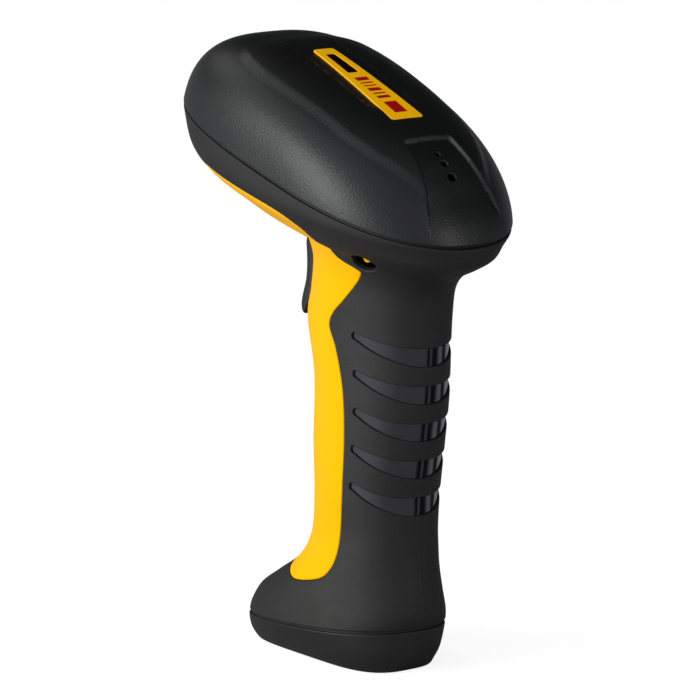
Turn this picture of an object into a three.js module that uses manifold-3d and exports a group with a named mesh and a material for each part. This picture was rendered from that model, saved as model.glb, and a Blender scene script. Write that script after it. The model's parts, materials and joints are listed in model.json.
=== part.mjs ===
// Handheld barcode scanner. Millimetres, +Z up, nose towards -Y, the operator's left towards +X.
// The origin is on the flat underside of the base, about midway along it. The object is the same on both
// sides of X = 0.
import * as THREE from "three";
import { mergeVertices } from "three/addons/utils/BufferGeometryUtils.js";
import Module from "manifold-3d";

const wasm = await Module();
wasm.setup();

// ---------------------------------------------------------------- driving dimensions
const AROUND = 24; // sides of an outer lofted ring
const AROUND_INSIDE = 16; // sides of the ring round a cavity
const GAP = 0.3; // clearance between neighbouring pieces
const SEAM = 1.2; // width of the groove between two housings
const RUBBER = 1.2; // thickness of the grip's rubber skin
const WALL = 2.2; // thickness of a moulded wall
const REACH = 60; // how far a cutting prism reaches past the object

// Rings of the lower body from the base seam (first) up to the head seam (last). Each ring is a
// squared oval drawn between a front point and a rear point of the side view.
const BODY = [
  // frontY, frontZ, rearY, rearZ, halfWidth, squareness at the front, at the rear
  [-34, 10, 33, 13, 21.5, 2.4, 2.4],
  [-33.5, 13.5, 34, 17, 21, 2.3, 2.3],
  [-30, 18.5, 33.5, 23, 20, 2.2, 2.2],
  [-22, 23.5, 32.5, 29, 18.5, 2.2, 2.2],
  [-12.5, 29.5, 32, 35, 17, 2.2, 2.2],
  [-7.5, 37.5, 32, 42, 16, 2.2, 2.2],
  [-6, 50, 32.5, 52, 16.3, 2.2, 2.2],
  [-6.5, 65, 34.5, 65, 16.6, 2.2, 2.2],
  [-6.1, 85, 36.5, 79, 16.8, 2.2, 2.2],
  [-9.4, 101.4, 37.5, 92.5, 17, 2.2, 2.2],
  [-9, 111, 38, 102.5, 17.4, 1.85, 2.2],
  [-7.9, 123, 39, 110.5, 18.1, 1.9, 2.2],
  [-14, 134.7, 42.5, 115, 21, 2.2, 2.2],
  [-29.6, 136, 49, 118, 24.5, 2.3, 2.2],
  [-40, 140.5, 53.5, 120.5, 28, 2.4, 2.2],
  [-47.5, 145, 55, 123.5, 31, 2.6, 2.2],
  [-52, 151.5, 55.5, 125.5, 33, 2.8, 2.3],
  [-54, 162.5, 55.5, 126.5, 33.5, 3, 2.4],
];
const TOP_RING = BODY.length - 1;
const INSIDE_STATIONS = [0, 2, 4, 6, 8, 10, 11, 12, 14, 15, 16, 17]; // rings kept round the cavity

// Rings of the base cap, from the base seam down to the flat underside.
// The last number of each is how much narrower it gets towards the nose.
const BASE = [
  [-34, 10, 33, 13, 21.5, 2.4, 2.4, 0],
  [-33.9, 5.2, 31.2, 5.8, 18, 3.3, 2.6, 0.08],
  [-33.6, 1.8, 29.2, 1.9, 14.6, 4.2, 2.8, 0.17],
  [-32.9, 0.45, 28.2, 0.45, 12.8, 4.9, 3, 0.22],
  [-31.2, 0, 27.3, 0, 11.4, 5.2, 3.1, 0.25],
];
const BASE_FLOOR = 3; // height of the floor inside the base cap

// The dome of the top cover, over the last ring of the body.
const CROWN = [24.3, 5.3, -2.5, -0.4]; // crown height, a cubic in the forward fraction
const CROWN_FULLNESS = { front: 0.49, side: 0.58, rear: 0.4 };
const CROWN_FALL = { front: 0.85, side: 0.74, rear: 1.8 };
const PANEL = { halfWidth: 23, front: 33, rear: -33, edge: 5, height: 0.8 }; // raised centre panel
const RECESS = { front: -29, rear: -60, halfFront: 8.4, halfRear: 14, depth: 1.5 };
const SOUND_HOLES = [
  [-35, 1.1],
  [-38.4, 1.4],
  [-42.1, 1.8],
]; // forward place and radius

// Badge on the crown: an inlaid plate with a dark indicator window.
const BADGE = { front: 21.5, rear: -19.7, halfFront: 3.8, halfRear: 6, proud: 0.4, deep: 0.9 };
const BADGE_WINDOW = { front: 18, rear: 6.5, halfFront: 1.6, halfRear: 2 };

// Mouth of the nose, in the head's frame: a rounded opening that holds the bezel.
const MOUTH = { halfWidth: 19, low: -8, high: 13, corner: 6, back: 44 };
const WINDOW = { back: 45.2, front: 47.2, inset: 0.6 };
const BEZEL = { rim: 3.8, lip: 1.9, lipBack: 52 }; // widths of the bezel behind and at its lip

// The line where the yellow front shell meets the rubber, in the side view (y, z).
const UNDER_HEAD_LINE = [
  [-46, 138.5],
  [-41, 142],
  [-35, 143.3],
  [-29, 143.1],
  [-25.7, 142.4],
  [2.9, 134.9],
  [12.5, 131],
  [16, 128],
  [18, 124.5],
  [18.4, 122.3],
  [20.4, 120.6],
  [23.7, 119.4],
  [27.5, 118],
];
const HANDLE_LINE = [
  [27.5, 118],
  [25, 115],
  [18.5, 108.5],
  [14, 104.5],
  [12, 100.5],
  [14.8, 94],
  [17.5, 83],
  [18, 70],
  [17, 56],
  [15.5, 40],
  [14.4, 33],
  [12.4, 29],
  [9, 26.4],
  [1, 24.7],
  [-5, 25.1],
  [-12.5, 29.8],
  [-20, 35],
  [-70, 70],
];
const LINE_STEPS = 14; // segments on each of the two curves

// Recessed bands across the back of the grip.
const BANDS = { count: 5, topZ: 95.3, pitch: 11, height: 5.2, tipAngle: 69.5, tipRise: 4.4, tipHeight: 2 };

// Lanyard eye through both sides of the neck, and the bar that a cord would loop round.
const EYE = { y: 30.1, z: 120.5, halfLength: 4.5, halfHeight: 2.5, slope: 0.1 };
const LANYARD_BAR = { y: 29.5, z: 121.9, radius: 1.3, halfLength: 14.5 };

// Trigger: its pivot, its side profile and its slot in the yellow shell.
const PIVOT = { y: -4.8, z: 121, radius: 1.2, halfLength: 8.2 };
const EARS = { inner: 7.2, outer: 8.8, front: -9, back: -3.5, low: 118.4, high: 123.6 };
const TRIGGER = { halfWidth: 6.2, front: -17.4, back: -2, low: 96, high: 126, shoulder: 7.5 };
const SLOT = { halfWidth: 6.7, back: -1, low: 98.6, high: 123.8 };
const PLUNGER_Z = 108;
const SWITCH = { half: 3, front: -1.4, bore: 1.8 };
const SPRING = { z: 113.5, start: -5.2, radius: 2.2, wire: 0.3, turns: 4 };
const TRIGGER_BOARD = { y: 3.2, thick: 1.2, halfWidth: 11.7, low: 98, high: 119 };
const BOARD_POST = { x: 10, z: 105, front: -7, radius: 1.9, pilot: 1.1, hole: 1.3 };

const BATTERY = { y: 17, low: 32, high: 97, radius: 9.2 };
const CONTACT = { half: 4.5, depth: 3, thick: 0.5 };
const CRADLE = { thick: 1.2, low: 36, height: 56, open: 0.1 * Math.PI };
const CHARGE_BOARD = { z: 12.4, thick: 1.2, halfWidth: 12, front: -8, rear: 18 };
const USB = { y: 12, halfWidth: 4.5, halfDepth: 1.6, height: 8.5, sheet: 0.4 };
const USB_TONGUE = { halfWidth: 3.2, halfThick: 0.35, low: 5, high: 9.6 };

// Screws: length, head radius, shaft radius, and where the head's face lies.
const BASE_SCREW = { length: 16, head: 2.5, shaft: 1.2, face: 0.6 };
const NOSE_SCREW = { length: 16, head: 2.4, shaft: 1.2, face: -12.4, w: 18.2, h: 25 };
const BOARD_SCREW = { length: 7.5, head: 1.7, shaft: 0.8 };
const BASE_SCREW_PLACES = [
  [0, -22, 20],
  [7.6, 21, 26],
  [-7.6, 21, 26],
]; // x, y, top of the boss
const HOLE_ROOM = 0.4; // room round a screw's shaft and head
const BOSS_WALL = 1.3;
const RIB = { half: 0.8, reach: 14 }; // joins each base boss to the wall behind it

// The main board and what stands on it, in the head's frame (w sideways, h forward).
const BOARD = { halfWidth: 21, front: 18, rear: -40, low: 2.2, thick: 1.6 };
const DECODER = { w: [-7, 7], h: [-12, 2], height: 1.6 };
const RADIO = { w: [6, 18], h: [-34, -18], height: 2.2 };
const BUZZER = { w: -9, h: -28, radius: 5.5, height: 4.5 };
const STATUS_LED = { w: [-1.2, 1.2], h: [10.5, 13.5], height: 1 };
const LIGHT_PIPE = { half: 1.2, rear: 9, front: 15, low: 5.4, high: 21.5 };

// The scan engine, its bracket, and the optics on its face, in the head's frame.
const ENGINE = { halfWidth: 12.8, back: 22, front: 38.5, low: -4.3, high: 12 };
const BRACKET = { room: 0.6, sheet: 1.2, back: 20, front: 41, high: 9 };
const ENGINE_LENS = { w: 0, n: 4.2, radius: 4.6 };
const AIMER_LENS = { w: 0, n: -2.1, radius: 1.5 };
const FLOOD_LED = { w: 9, n: 4.2, radius: 2.6 };
const RIBBON = { right: -6, left: -3, thick: 0.3 };
const RIBBON_PATH = [
  [21.6, 6.7],
  [18.2, 6.7],
  [14.2, 5.1],
  [8, 5.1],
]; // forward place and height

// ---------------------------------------------------------------- materials
const finish = (color, roughness, metalness = 0) =>
  new THREE.MeshStandardMaterial({ color, roughness, metalness });
const TEXTURED_BLACK = finish(0x1c1e1c, 0.6);
const RUBBER_BLACK = finish(0x2b2a29, 0.7);
const GLOSS_BLACK = finish(0x0c0d12, 0.12);
const YELLOW = finish(0xffc400, 0.4);
const BADGE_YELLOW = finish(0xf9b000, 0.3);
const DARK_LENS = finish(0x140d0a, 0.08);
const STEEL = finish(0xb9bcc0, 0.25, 1);
const DARK_METAL = finish(0x4a4c50, 0.4, 1);
const BOARD_GREEN = finish(0x1d5a34, 0.45);
const CHIP = finish(0x18181a, 0.5);
const AMBER = finish(0xb9771d, 0.5);
const GLASS = finish(0x26343a, 0.05);
const LED_WHITE = finish(0xe8e8dc, 0.3);
const WRAP = finish(0x2a6f9e, 0.35);
const BRASS = finish(0xb08d3f, 0.3, 1);

// ---------------------------------------------------------------- curves and surfaces
// Smooth curve through rows of numbers; t counts rows from 0.
function through(rows, t) {
  const i = Math.min(Math.max(Math.floor(t), 0), rows.length - 2);
  const u = t - i;
  const slope = (k, c) => {
    const a = rows[Math.max(k - 1, 0)][c];
    const b = rows[Math.min(k + 1, rows.length - 1)][c];
    return (b - a) / (Math.min(k + 1, rows.length - 1) - Math.max(k - 1, 0));
  };
  return rows[i].map((value, c) => {
    const [p, q, m, n] = [value, rows[i + 1][c], slope(i, c), slope(i + 1, c)];
    return p + u * m + u * u * (3 * (q - p) - 2 * m - n) + u * u * u * (m + n - 2 * (q - p));
  });
}

// Squared oval of half-size 1: [forward, sideways] at an angle from the nose towards +X.
function oval(angle, front, rear) {
  const [c, s] = [Math.cos(angle), Math.sin(angle)];
  const n = (front + rear) / 2 + ((front - rear) / 2) * c;
  const r = (Math.abs(c) ** n + Math.abs(s) ** n) ** (-1 / n);
  return [c * r, s * r];
}

function ringPoint(rows, t, angle) {
  const [fy, fz, ry, rz, half, front, rear, taper = 0] = through(rows, t);
  const [f, w] = oval(angle, front, rear);
  return new THREE.Vector3(
    w * half * (1 - taper * f),
    (fy + ry) / 2 + (f * (fy - ry)) / 2,
    (fz + rz) / 2 + (f * (fz - rz)) / 2,
  );
}

// A point of a lofted surface, moved inwards along its normal.
function surfacePoint(rows, t, angle, inset) {
  const step = 0.02;
  const last = rows.length - 1;
  const point = ringPoint(rows, t, angle);
  const along = ringPoint(rows, Math.min(t + step, last), angle).sub(
    ringPoint(rows, Math.max(t - step, 0), angle),
  );
  const across = ringPoint(rows, t, angle + step).sub(ringPoint(rows, t, angle - step));
  return point.addScaledVector(across.cross(along).normalize(), -inset);
}

// The head's own frame: x sideways, -y forward along the seam plane, z up from it.
const seamFront = new THREE.Vector3(0, BODY[TOP_RING][0], BODY[TOP_RING][1]);
const seamRear = new THREE.Vector3(0, BODY[TOP_RING][2], BODY[TOP_RING][3]);
const HEAD_CENTRE = seamFront.clone().add(seamRear).divideScalar(2);
const HEAD_HALF = seamFront.distanceTo(seamRear) / 2;
const HEAD_PITCH = Math.atan2(seamFront.z - seamRear.z, seamRear.y - seamFront.y);
const HEAD = new THREE.Matrix4()
  .makeRotationX(-HEAD_PITCH)
  .setPosition(HEAD_CENTRE.x, HEAD_CENTRE.y, HEAD_CENTRE.z);
const onHead = (w, h, n) => new THREE.Vector3(w, -h, n).applyMatrix4(HEAD);

const between = (low, high, v) => Math.min(Math.max((v - low) / (high - low), 0), 1);
const smooth = (low, high, v) => {
  const u = between(low, high, v);
  return u * u * (3 - 2 * u);
};
const byDirection = (angle, { front, side, rear }) => {
  const c = Math.cos(angle);
  const [f, r] = [Math.max(c, 0) ** 2, Math.max(-c, 0) ** 2];
  return front * f + rear * r + side * (1 - f - r);
};

// How far the centre panel of the cover stands above the plain dome.
function panelLift(w, h) {
  const { halfWidth, front, rear, edge, height } = PANEL;
  const inWidth = 1 - smooth(halfWidth - edge, halfWidth, Math.abs(w));
  return height * inWidth * smooth(rear, rear + 3 * edge, h) * (1 - smooth(front - edge, front, h));
}

// A point of the dome in the head's frame; u is 0 at the crown and 1 at the seam.
function domePoint(u, angle, inset) {
  const [, , , , half, front, rear] = BODY[TOP_RING];
  const [f, s] = oval(angle, front, rear);
  const k = Math.sin((u * Math.PI) / 2);
  const w = s * k * (half - inset);
  const h = f * k * (HEAD_HALF - inset);
  const v = f * k;
  const crown = CROWN[0] + CROWN[1] * v + CROWN[2] * v * v + CROWN[3] * v ** 3 - inset;
  const fullness = byDirection(angle, CROWN_FULLNESS);
  const fall = byDirection(angle, CROWN_FALL);
  const lift = Math.max(1 - k ** (2 / fullness), 0) ** (fall / 2);
  return onHead(w, h, crown * lift + panelLift(w, h));
}

// ---------------------------------------------------------------- solids
function geometryFrom(triangles) {
  const positions = triangles.flatMap((p) => [p.x, p.y, p.z]);
  return new THREE.BufferGeometry().setAttribute(
    "position",
    new THREE.Float32BufferAttribute(positions, 3),
  );
}

function solid(geometry) {
  const bare = geometry.clone();
  bare.deleteAttribute("normal");
  bare.deleteAttribute("uv");
  const merged = mergeVertices(bare, 1e-4);
  return new wasm.Manifold(
    new wasm.Mesh({
      numProp: 3,
      vertProperties: merged.attributes.position.array,
      triVerts: new Uint32Array(merged.index.array),
    }),
  );
}

function geometryOf(body) {
  const { vertProperties, triVerts } = body.getMesh();
  return new THREE.BufferGeometry()
    .setAttribute("position", new THREE.Float32BufferAttribute(vertProperties, 3))
    .setIndex(new THREE.Uint32BufferAttribute(triVerts, 1));
}

// The main body of a cut shape, without the crumbs that a cut can leave.
const largest = (body) => body.decompose().reduce((a, b) => (a.volume() > b.volume() ? a : b));

// Closed solid through a list of rings, with a fan over each end.
function loft(rings) {
  const triangles = [];
  const count = rings[0].length;
  const centre = (ring) =>
    ring.reduce((sum, p) => sum.add(p), new THREE.Vector3()).divideScalar(count);
  const [first, last] = [rings[0], rings[rings.length - 1]];
  const [low, high] = [centre(first), centre(last)];
  for (let j = 0; j < count; j++) {
    const k = (j + 1) % count;
    for (let i = 0; i + 1 < rings.length; i++) {
      const [a, b, c, d] = [rings[i][j], rings[i][k], rings[i + 1][k], rings[i + 1][j]];
      triangles.push(a, b, c, a, c, d);
    }
    triangles.push(low, first[k], first[j], high, last[j], last[k]);
  }
  return solid(geometryFrom(triangles));
}

const ringOf = (pointAt, sides = AROUND) =>
  Array.from({ length: sides }, (_, j) => pointAt((2 * Math.PI * j) / sides));
const shifted = (ring, offset) => ring.map((p) => p.clone().add(offset));

// The lower body, inset by some depth.
function bodySolid(inset) {
  return loft(BODY.map((_, t) => ringOf((angle) => surfacePoint(BODY, t, angle, inset))));
}

// The space inside the lower body, which runs on past both seams.
function bodyCavity(inset, stations = BODY.map((_, t) => t), sides = AROUND) {
  const rings = stations.map((t) =>
    ringOf((angle) => surfacePoint(BODY, t, angle, inset), sides),
  );
  const up = onHead(0, 0, 3).sub(HEAD_CENTRE);
  rings.unshift(shifted(rings[0], new THREE.Vector3(0, 0, -3)));
  rings.push(shifted(rings[rings.length - 1], up));
  return loft(rings);
}
const roomInside = (inset) => bodyCavity(inset, INSIDE_STATIONS, AROUND_INSIDE);

function baseSolid(inset, sides = AROUND) {
  const rings = BASE.map((_, t) => ringOf((angle) => surfacePoint(BASE, t, angle, -inset), sides));
  return loft(rings.reverse());
}

const DOME_ROWS = [1, 0.96, 0.89, 0.79, 0.67, 0.55, 0.42, 0.28, 0.14];
const DOME_INSIDE_ROWS = [1, 0.92, 0.8, 0.6, 0.35];
// The dome, inset by some depth, with a skirt that runs down past the seam.
function domeSolid(inset, rows = DOME_ROWS, sides = AROUND) {
  const rings = rows.map((u) => ringOf((angle) => domePoint(u, angle, inset), sides));
  rings.unshift(shifted(rings[0], onHead(0, 0, -3).sub(HEAD_CENTRE)));
  return loft(rings);
}

const shapeOf = (points) => new THREE.Shape(points.map(([x, y]) => new THREE.Vector2(x, y)));

// Shapes that stand in the side view (y, z) and reach through the object along X.
function sidePrism(points, halfWidth = REACH) {
  const options = { depth: 2 * halfWidth, bevelEnabled: false };
  const geometry = new THREE.ExtrudeGeometry(shapeOf(points), options);
  geometry.translate(0, 0, -halfWidth).rotateY(Math.PI / 2).rotateX(Math.PI / 2);
  return solid(geometry);
}

// Shapes drawn in the head's (sideways, forward) plane that reach up through it.
function headPrism(shape, low, high) {
  const geometry = new THREE.ExtrudeGeometry(shape, { depth: high - low, bevelEnabled: false });
  geometry.scale(1, -1, 1).translate(0, 0, low);
  return solid(flipped(geometry).applyMatrix4(HEAD));
}

// Shapes drawn in the head's (sideways, up) plane that reach forward from back to front.
function nosePrism(shape, back, front) {
  const geometry = new THREE.ExtrudeGeometry(shape, { depth: front - back, bevelEnabled: false });
  geometry.rotateX(Math.PI / 2).translate(0, -back, 0);
  return solid(geometry.applyMatrix4(HEAD));
}

// Turns every face of a mirrored geometry round again.
function flipped(geometry) {
  const p = geometry.attributes.position;
  const a = new THREE.Vector3();
  const b = new THREE.Vector3();
  for (let i = 0; i < p.count; i += 3) {
    a.fromBufferAttribute(p, i + 1);
    b.fromBufferAttribute(p, i + 2);
    p.setXYZ(i + 1, b.x, b.y, b.z).setXYZ(i + 2, a.x, a.y, a.z);
  }
  return geometry;
}

const box = (x0, x1, y0, y1, z0, z1) =>
  new THREE.BoxGeometry(x1 - x0, y1 - y0, z1 - z0).translate(
    (x0 + x1) / 2,
    (y0 + y1) / 2,
    (z0 + z1) / 2,
  );
const headBox = (w0, w1, h0, h1, n0, n1) => box(w0, w1, -h1, -h0, n0, n1).applyMatrix4(HEAD);

// A cylinder along +Z from z0 to z1.
const post = (x, y, z0, z1, radius, sides = 16) =>
  new THREE.CylinderGeometry(radius, radius, z1 - z0, sides)
    .rotateX(Math.PI / 2)
    .translate(x, y, (z0 + z1) / 2);
const headPost = (w, h, n0, n1, radius, sides) =>
  post(w, -h, n0, n1, radius, sides).applyMatrix4(HEAD);
// A cylinder along +Y from y0 to y1.
const rod = (x, z, y0, y1, radius, sides = 16) =>
  new THREE.CylinderGeometry(radius, radius, y1 - y0, sides).translate(x, (y0 + y1) / 2, z);
// A cylinder along X about the middle.
const axle = (y, z, halfLength, radius, sides = 16) =>
  new THREE.CylinderGeometry(radius, radius, 2 * halfLength, sides)
    .rotateZ(Math.PI / 2)
    .translate(0, y, z);

function roundedRectangle(x0, x1, y0, y1, r) {
  const shape = new THREE.Shape();
  shape.moveTo(x0 + r, y0).lineTo(x1 - r, y0).absarc(x1 - r, y0 + r, r, -Math.PI / 2, 0);
  shape.lineTo(x1, y1 - r).absarc(x1 - r, y1 - r, r, 0, Math.PI / 2);
  shape.lineTo(x0 + r, y1).absarc(x0 + r, y1 - r, r, Math.PI / 2, Math.PI);
  shape.lineTo(x0, y0 + r).absarc(x0 + r, y0 + r, r, Math.PI, 1.5 * Math.PI);
  return new THREE.Shape(shape.getPoints(3));
}

// A badge-like outline with straight sides, grown by a margin.
function taper({ front, rear, halfFront, halfRear }, grow) {
  return shapeOf([
    [-halfFront - grow, front + grow],
    [-halfRear - grow, rear - grow],
    [halfRear + grow, rear - grow],
    [halfFront + grow, front + grow],
  ]);
}

// ---------------------------------------------------------------- shared regions
// The yellow shell's side-view region, grown or shrunk by moving its edge along the normal.
function frontRegion(grow) {
  const curve = (points) =>
    new THREE.SplineCurve(points.map(([y, z]) => new THREE.Vector2(y, z))).getPoints(LINE_STEPS);
  const edge = [...curve(UNDER_HEAD_LINE), ...curve(HANDLE_LINE).slice(1)];
  const moved = edge.map((p, i) => {
    const before = edge[Math.max(i - 1, 0)];
    const after = edge[Math.min(i + 1, edge.length - 1)];
    const along = after.clone().sub(before).normalize();
    return [p.x - along.y * grow, p.y + along.x * grow];
  });
  return sidePrism(moved.reverse());
}

// Everything between the two seams, in the row frame.
function betweenSeams() {
  const [fy, fz, ry, rz] = BODY[0];
  const slope = (rz - fz) / (ry - fy);
  const baseLine = (y) => fz + slope * (y - fy) + SEAM / 2;
  const frontTop = onHead(0, 80, -SEAM / 2);
  const rearTop = onHead(0, -80, -SEAM / 2);
  return sidePrism([
    [-90, baseLine(-90)],
    [90, baseLine(90)],
    [rearTop.y, rearTop.z],
    [frontTop.y, frontTop.z],
  ]);
}

function belowBaseSeam() {
  const [fy, fz, ry, rz] = BODY[0];
  const slope = (rz - fz) / (ry - fy);
  const line = (y) => fz + slope * (y - fy) - SEAM / 2;
  return sidePrism([
    [-90, -10],
    [90, -10],
    [90, line(90)],
    [-90, line(-90)],
  ]);
}

const aboveHeadSeam = () => solid(headBox(-90, 90, -90, 90, SEAM / 2, 90));

function mouthShape(grow) {
  const { halfWidth, low, high, corner } = MOUTH;
  return roundedRectangle(
    -halfWidth - grow,
    halfWidth + grow,
    low - grow,
    high + grow,
    corner + grow,
  );
}
const mouthCut = (grow) => nosePrism(mouthShape(grow), MOUTH.back, 80);

// The lens-shaped hole for a lanyard, through both sides.
function eyeCut(grow) {
  const { y, z, halfLength, halfHeight, slope } = EYE;
  const points = [];
  const steps = 12;
  for (let i = 0; i < steps; i++) {
    const a = (2 * Math.PI * i) / steps;
    const along = Math.cos(a) * (halfLength + grow);
    points.push([y + along, z + slope * along + Math.sin(a) * (halfHeight + grow)]);
  }
  return sidePrism(points, REACH);
}

// ---------------------------------------------------------------- the pieces
const scanner = new THREE.Group();

function add(name, shape, material) {
  const geometry = shape.isBufferGeometry ? shape : geometryOf(shape);
  const mesh = new THREE.Mesh(geometry, material);
  mesh.name = name;
  scanner.add(mesh);
}

// ---- head
const noseScrewPlaces = () => [-1, 1].map((side) => [side * NOSE_SCREW.w, NOSE_SCREW.h]);
const pilot = ({ shaft }) => shaft + GAP;

function makeTopCover() {
  const room = domeSolid(WALL, DOME_INSIDE_ROWS, AROUND_INSIDE);
  const recess = taperCut(RECESS, 0, domeSolid(RECESS.depth));
  const badge = taperCut(BADGE, GAP, domeSolid(BADGE.deep));
  const { front, rear, halfRear } = BADGE_WINDOW;
  const window = solid(headBox(-halfRear - GAP, halfRear + GAP, rear, front, 10, REACH));
  let cover = domeSolid(0).intersect(aboveHeadSeam());
  for (const cut of [room, recess, badge, mouthCut(GAP), window]) cover = cover.subtract(cut);
  for (const [h, radius] of SOUND_HOLES)
    cover = cover.subtract(solid(headPost(0, h, 5, REACH, radius, 12)));
  for (const [w, h] of noseScrewPlaces()) {
    const boss = solid(headPost(w, h, -5, 20, pilot(NOSE_SCREW) + BOSS_WALL));
    cover = cover.add(boss.intersect(domeSolid(1)));
    cover = cover.subtract(solid(headPost(w, h, -6, 9, pilot(NOSE_SCREW), 12)));
  }
  add("top_cover", cover, TEXTURED_BLACK);
}

// A tapered prism in the head, and the part of it that lies above a dome.
const taperPrism = (outline, grow) => headPrism(taper(outline, grow), 2, REACH);
const taperCut = (outline, grow, dome) => taperPrism(outline, grow).subtract(dome);

function makeBadge() {
  const flush = domeSolid(-BADGE.proud);
  const plate = taperPrism(BADGE, 0)
    .intersect(flush)
    .subtract(domeSolid(BADGE.deep - GAP))
    .subtract(taperPrism(BADGE_WINDOW, GAP));
  add("badge_plate", plate, BADGE_YELLOW);
  const lens = taperPrism(BADGE_WINDOW, 0).intersect(flush).subtract(domeSolid(WALL));
  add("badge_window", lens, DARK_LENS);
  const { half, rear, front, low, high } = LIGHT_PIPE;
  add("light_pipe", headBox(-half, half, rear, front, low, high), GLASS);
}

function makeNose() {
  const head = domeSolid(0).add(bodySolid(0));
  const opening = nosePrism(mouthShape(-BEZEL.rim), MOUTH.back, 80);
  const lip = nosePrism(mouthShape(-BEZEL.lip), BEZEL.lipBack, 80);
  const bezel = head
    .intersect(nosePrism(mouthShape(0), WINDOW.front + GAP, 80))
    .subtract(opening)
    .subtract(lip);
  add("nose_bezel", bezel, RUBBER_BLACK);
  const pane = nosePrism(mouthShape(-WINDOW.inset), WINDOW.back, WINDOW.front);
  add("scan_window", pane, DARK_LENS);
}

// A flat ring-shaped disc on a seam, inset from the surface and reaching as far above as below it.
function seamDisc(seam, centre, normal, inset, halfThick) {
  const ring = ringOf((angle) => ringPoint(BODY, seam, angle)).map((point) => {
    const p = point.clone().sub(centre);
    return p.multiplyScalar(1 - inset / p.length()).add(centre);
  });
  return loft([-halfThick, halfThick].map((n) => shifted(ring, normal.clone().multiplyScalar(n))));
}

function makeHeadSeal() {
  const up = onHead(0, 0, 1).sub(HEAD_CENTRE);
  const ring = (inset, halfThick) => seamDisc(TOP_RING, HEAD_CENTRE, up, inset, halfThick);
  const band = ring(1, 0.3).subtract(ring(3, 1));
  add("head_seal", band.subtract(mouthCut(GAP)), RUBBER_BLACK);
}

function makeEngine() {
  const { halfWidth, back, front, low, high } = ENGINE;
  add("scan_engine", headBox(-halfWidth, halfWidth, back, front, low, high), CHIP);
  const inner = halfWidth + BRACKET.room;
  const outer = inner + BRACKET.sheet;
  const floor = low - BRACKET.room;
  const tray = shapeOf([
    [-outer, floor - BRACKET.sheet],
    [outer, floor - BRACKET.sheet],
    [outer, BRACKET.high],
    [inner, BRACKET.high],
    [inner, floor],
    [-inner, floor],
    [-inner, BRACKET.high],
    [-outer, BRACKET.high],
  ]);
  add("engine_bracket", nosePrism(tray, BRACKET.back, BRACKET.front), STEEL);
  add("engine_lens", lensBarrel(ENGINE_LENS), GLASS);
  add("aimer_lens", lensBarrel(AIMER_LENS), GLASS);
  add("flood_led_left", lensBarrel(FLOOD_LED), LED_WHITE);
  add("flood_led_right", lensBarrel({ ...FLOOD_LED, w: -FLOOD_LED.w }), LED_WHITE);
  const upper = RIBBON_PATH.map(([h, n]) => [-h, n + RIBBON.thick]);
  const lower = RIBBON_PATH.map(([h, n]) => [-h, n]).reverse();
  const ribbon = headSidePrism(shapeOf([...upper, ...lower]), RIBBON.right, RIBBON.left);
  add("engine_ribbon", ribbon, AMBER);
}

// A stepped barrel with a hollowed glass, in front of the engine.
function lensBarrel({ w, n, radius }) {
  const profile = [
    [0, 0],
    [radius, 0],
    [radius, 2.6],
    [radius * 0.82, 3.4],
    [radius * 0.7, 2.9],
    [0, 3.2],
  ];
  const barrel = turned(profile, 16).rotateX(Math.PI / 2).translate(w, -ENGINE.front - GAP, n);
  return solid(barrel.applyMatrix4(HEAD));
}

// A solid turned about +Z from rows of radius and height.
const turned = (profile, sides) =>
  new THREE.LatheGeometry(shapeOf(profile).getPoints(), sides).rotateX(Math.PI / 2);

// Shapes drawn in the head's side view (-forward, up), between two sideways places.
function headSidePrism(shape, w0, w1) {
  const geometry = new THREE.ExtrudeGeometry(shape, { depth: w1 - w0, bevelEnabled: false });
  geometry.rotateY(Math.PI / 2).rotateX(Math.PI / 2).translate(w0, 0, 0);
  return solid(geometry.applyMatrix4(HEAD));
}

function makeMainBoard() {
  const { halfWidth, front, rear, low, thick } = BOARD;
  const top = low + thick + GAP;
  const onBoard = ({ w, h, height }) => headBox(...w, ...h, top, top + height);
  add("main_board", headBox(-halfWidth, halfWidth, rear, front, low, low + thick), BOARD_GREEN);
  add("decoder_chip", onBoard(DECODER), CHIP);
  add("radio_module", onBoard(RADIO), STEEL);
  add("status_led", onBoard(STATUS_LED), LED_WHITE);
  add("buzzer", headPost(BUZZER.w, BUZZER.h, top, top + BUZZER.height, BUZZER.radius, 20), CHIP);
}

// ---- handle
function bandCut(index) {
  const { topZ, pitch, height, tipAngle, tipRise, tipHeight } = BANDS;
  const steps = 6;
  const rings = { outer: [], inner: [] };
  for (let i = 0; i <= steps; i++) {
    const offAngle = tipAngle * ((2 * i) / steps - 1);
    const u = Math.abs(offAngle) / tipAngle;
    const high = topZ - pitch * index + tipRise * u ** 2.3;
    const low = high - height + (height - tipHeight) * u ** 1.8;
    const angle = Math.PI - (offAngle * Math.PI) / 180;
    rings.outer.push([low, high].map((z) => handlePointAt(z, angle, -3)));
    rings.inner.push([low, high].map((z) => handlePointAt(z, angle, RUBBER + GAP / 2)));
  }
  return slab(rings.outer, rings.inner);
}

// The point of the handle's surface at a height z, found by halving the interval.
function handlePointAt(z, angle, inset) {
  let [low, high] = [3, 11];
  for (let i = 0; i < 30; i++) {
    const middle = (low + high) / 2;
    if (ringPoint(BODY, middle, angle).z < z) low = middle;
    else high = middle;
  }
  return surfacePoint(BODY, low, angle, inset);
}

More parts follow.
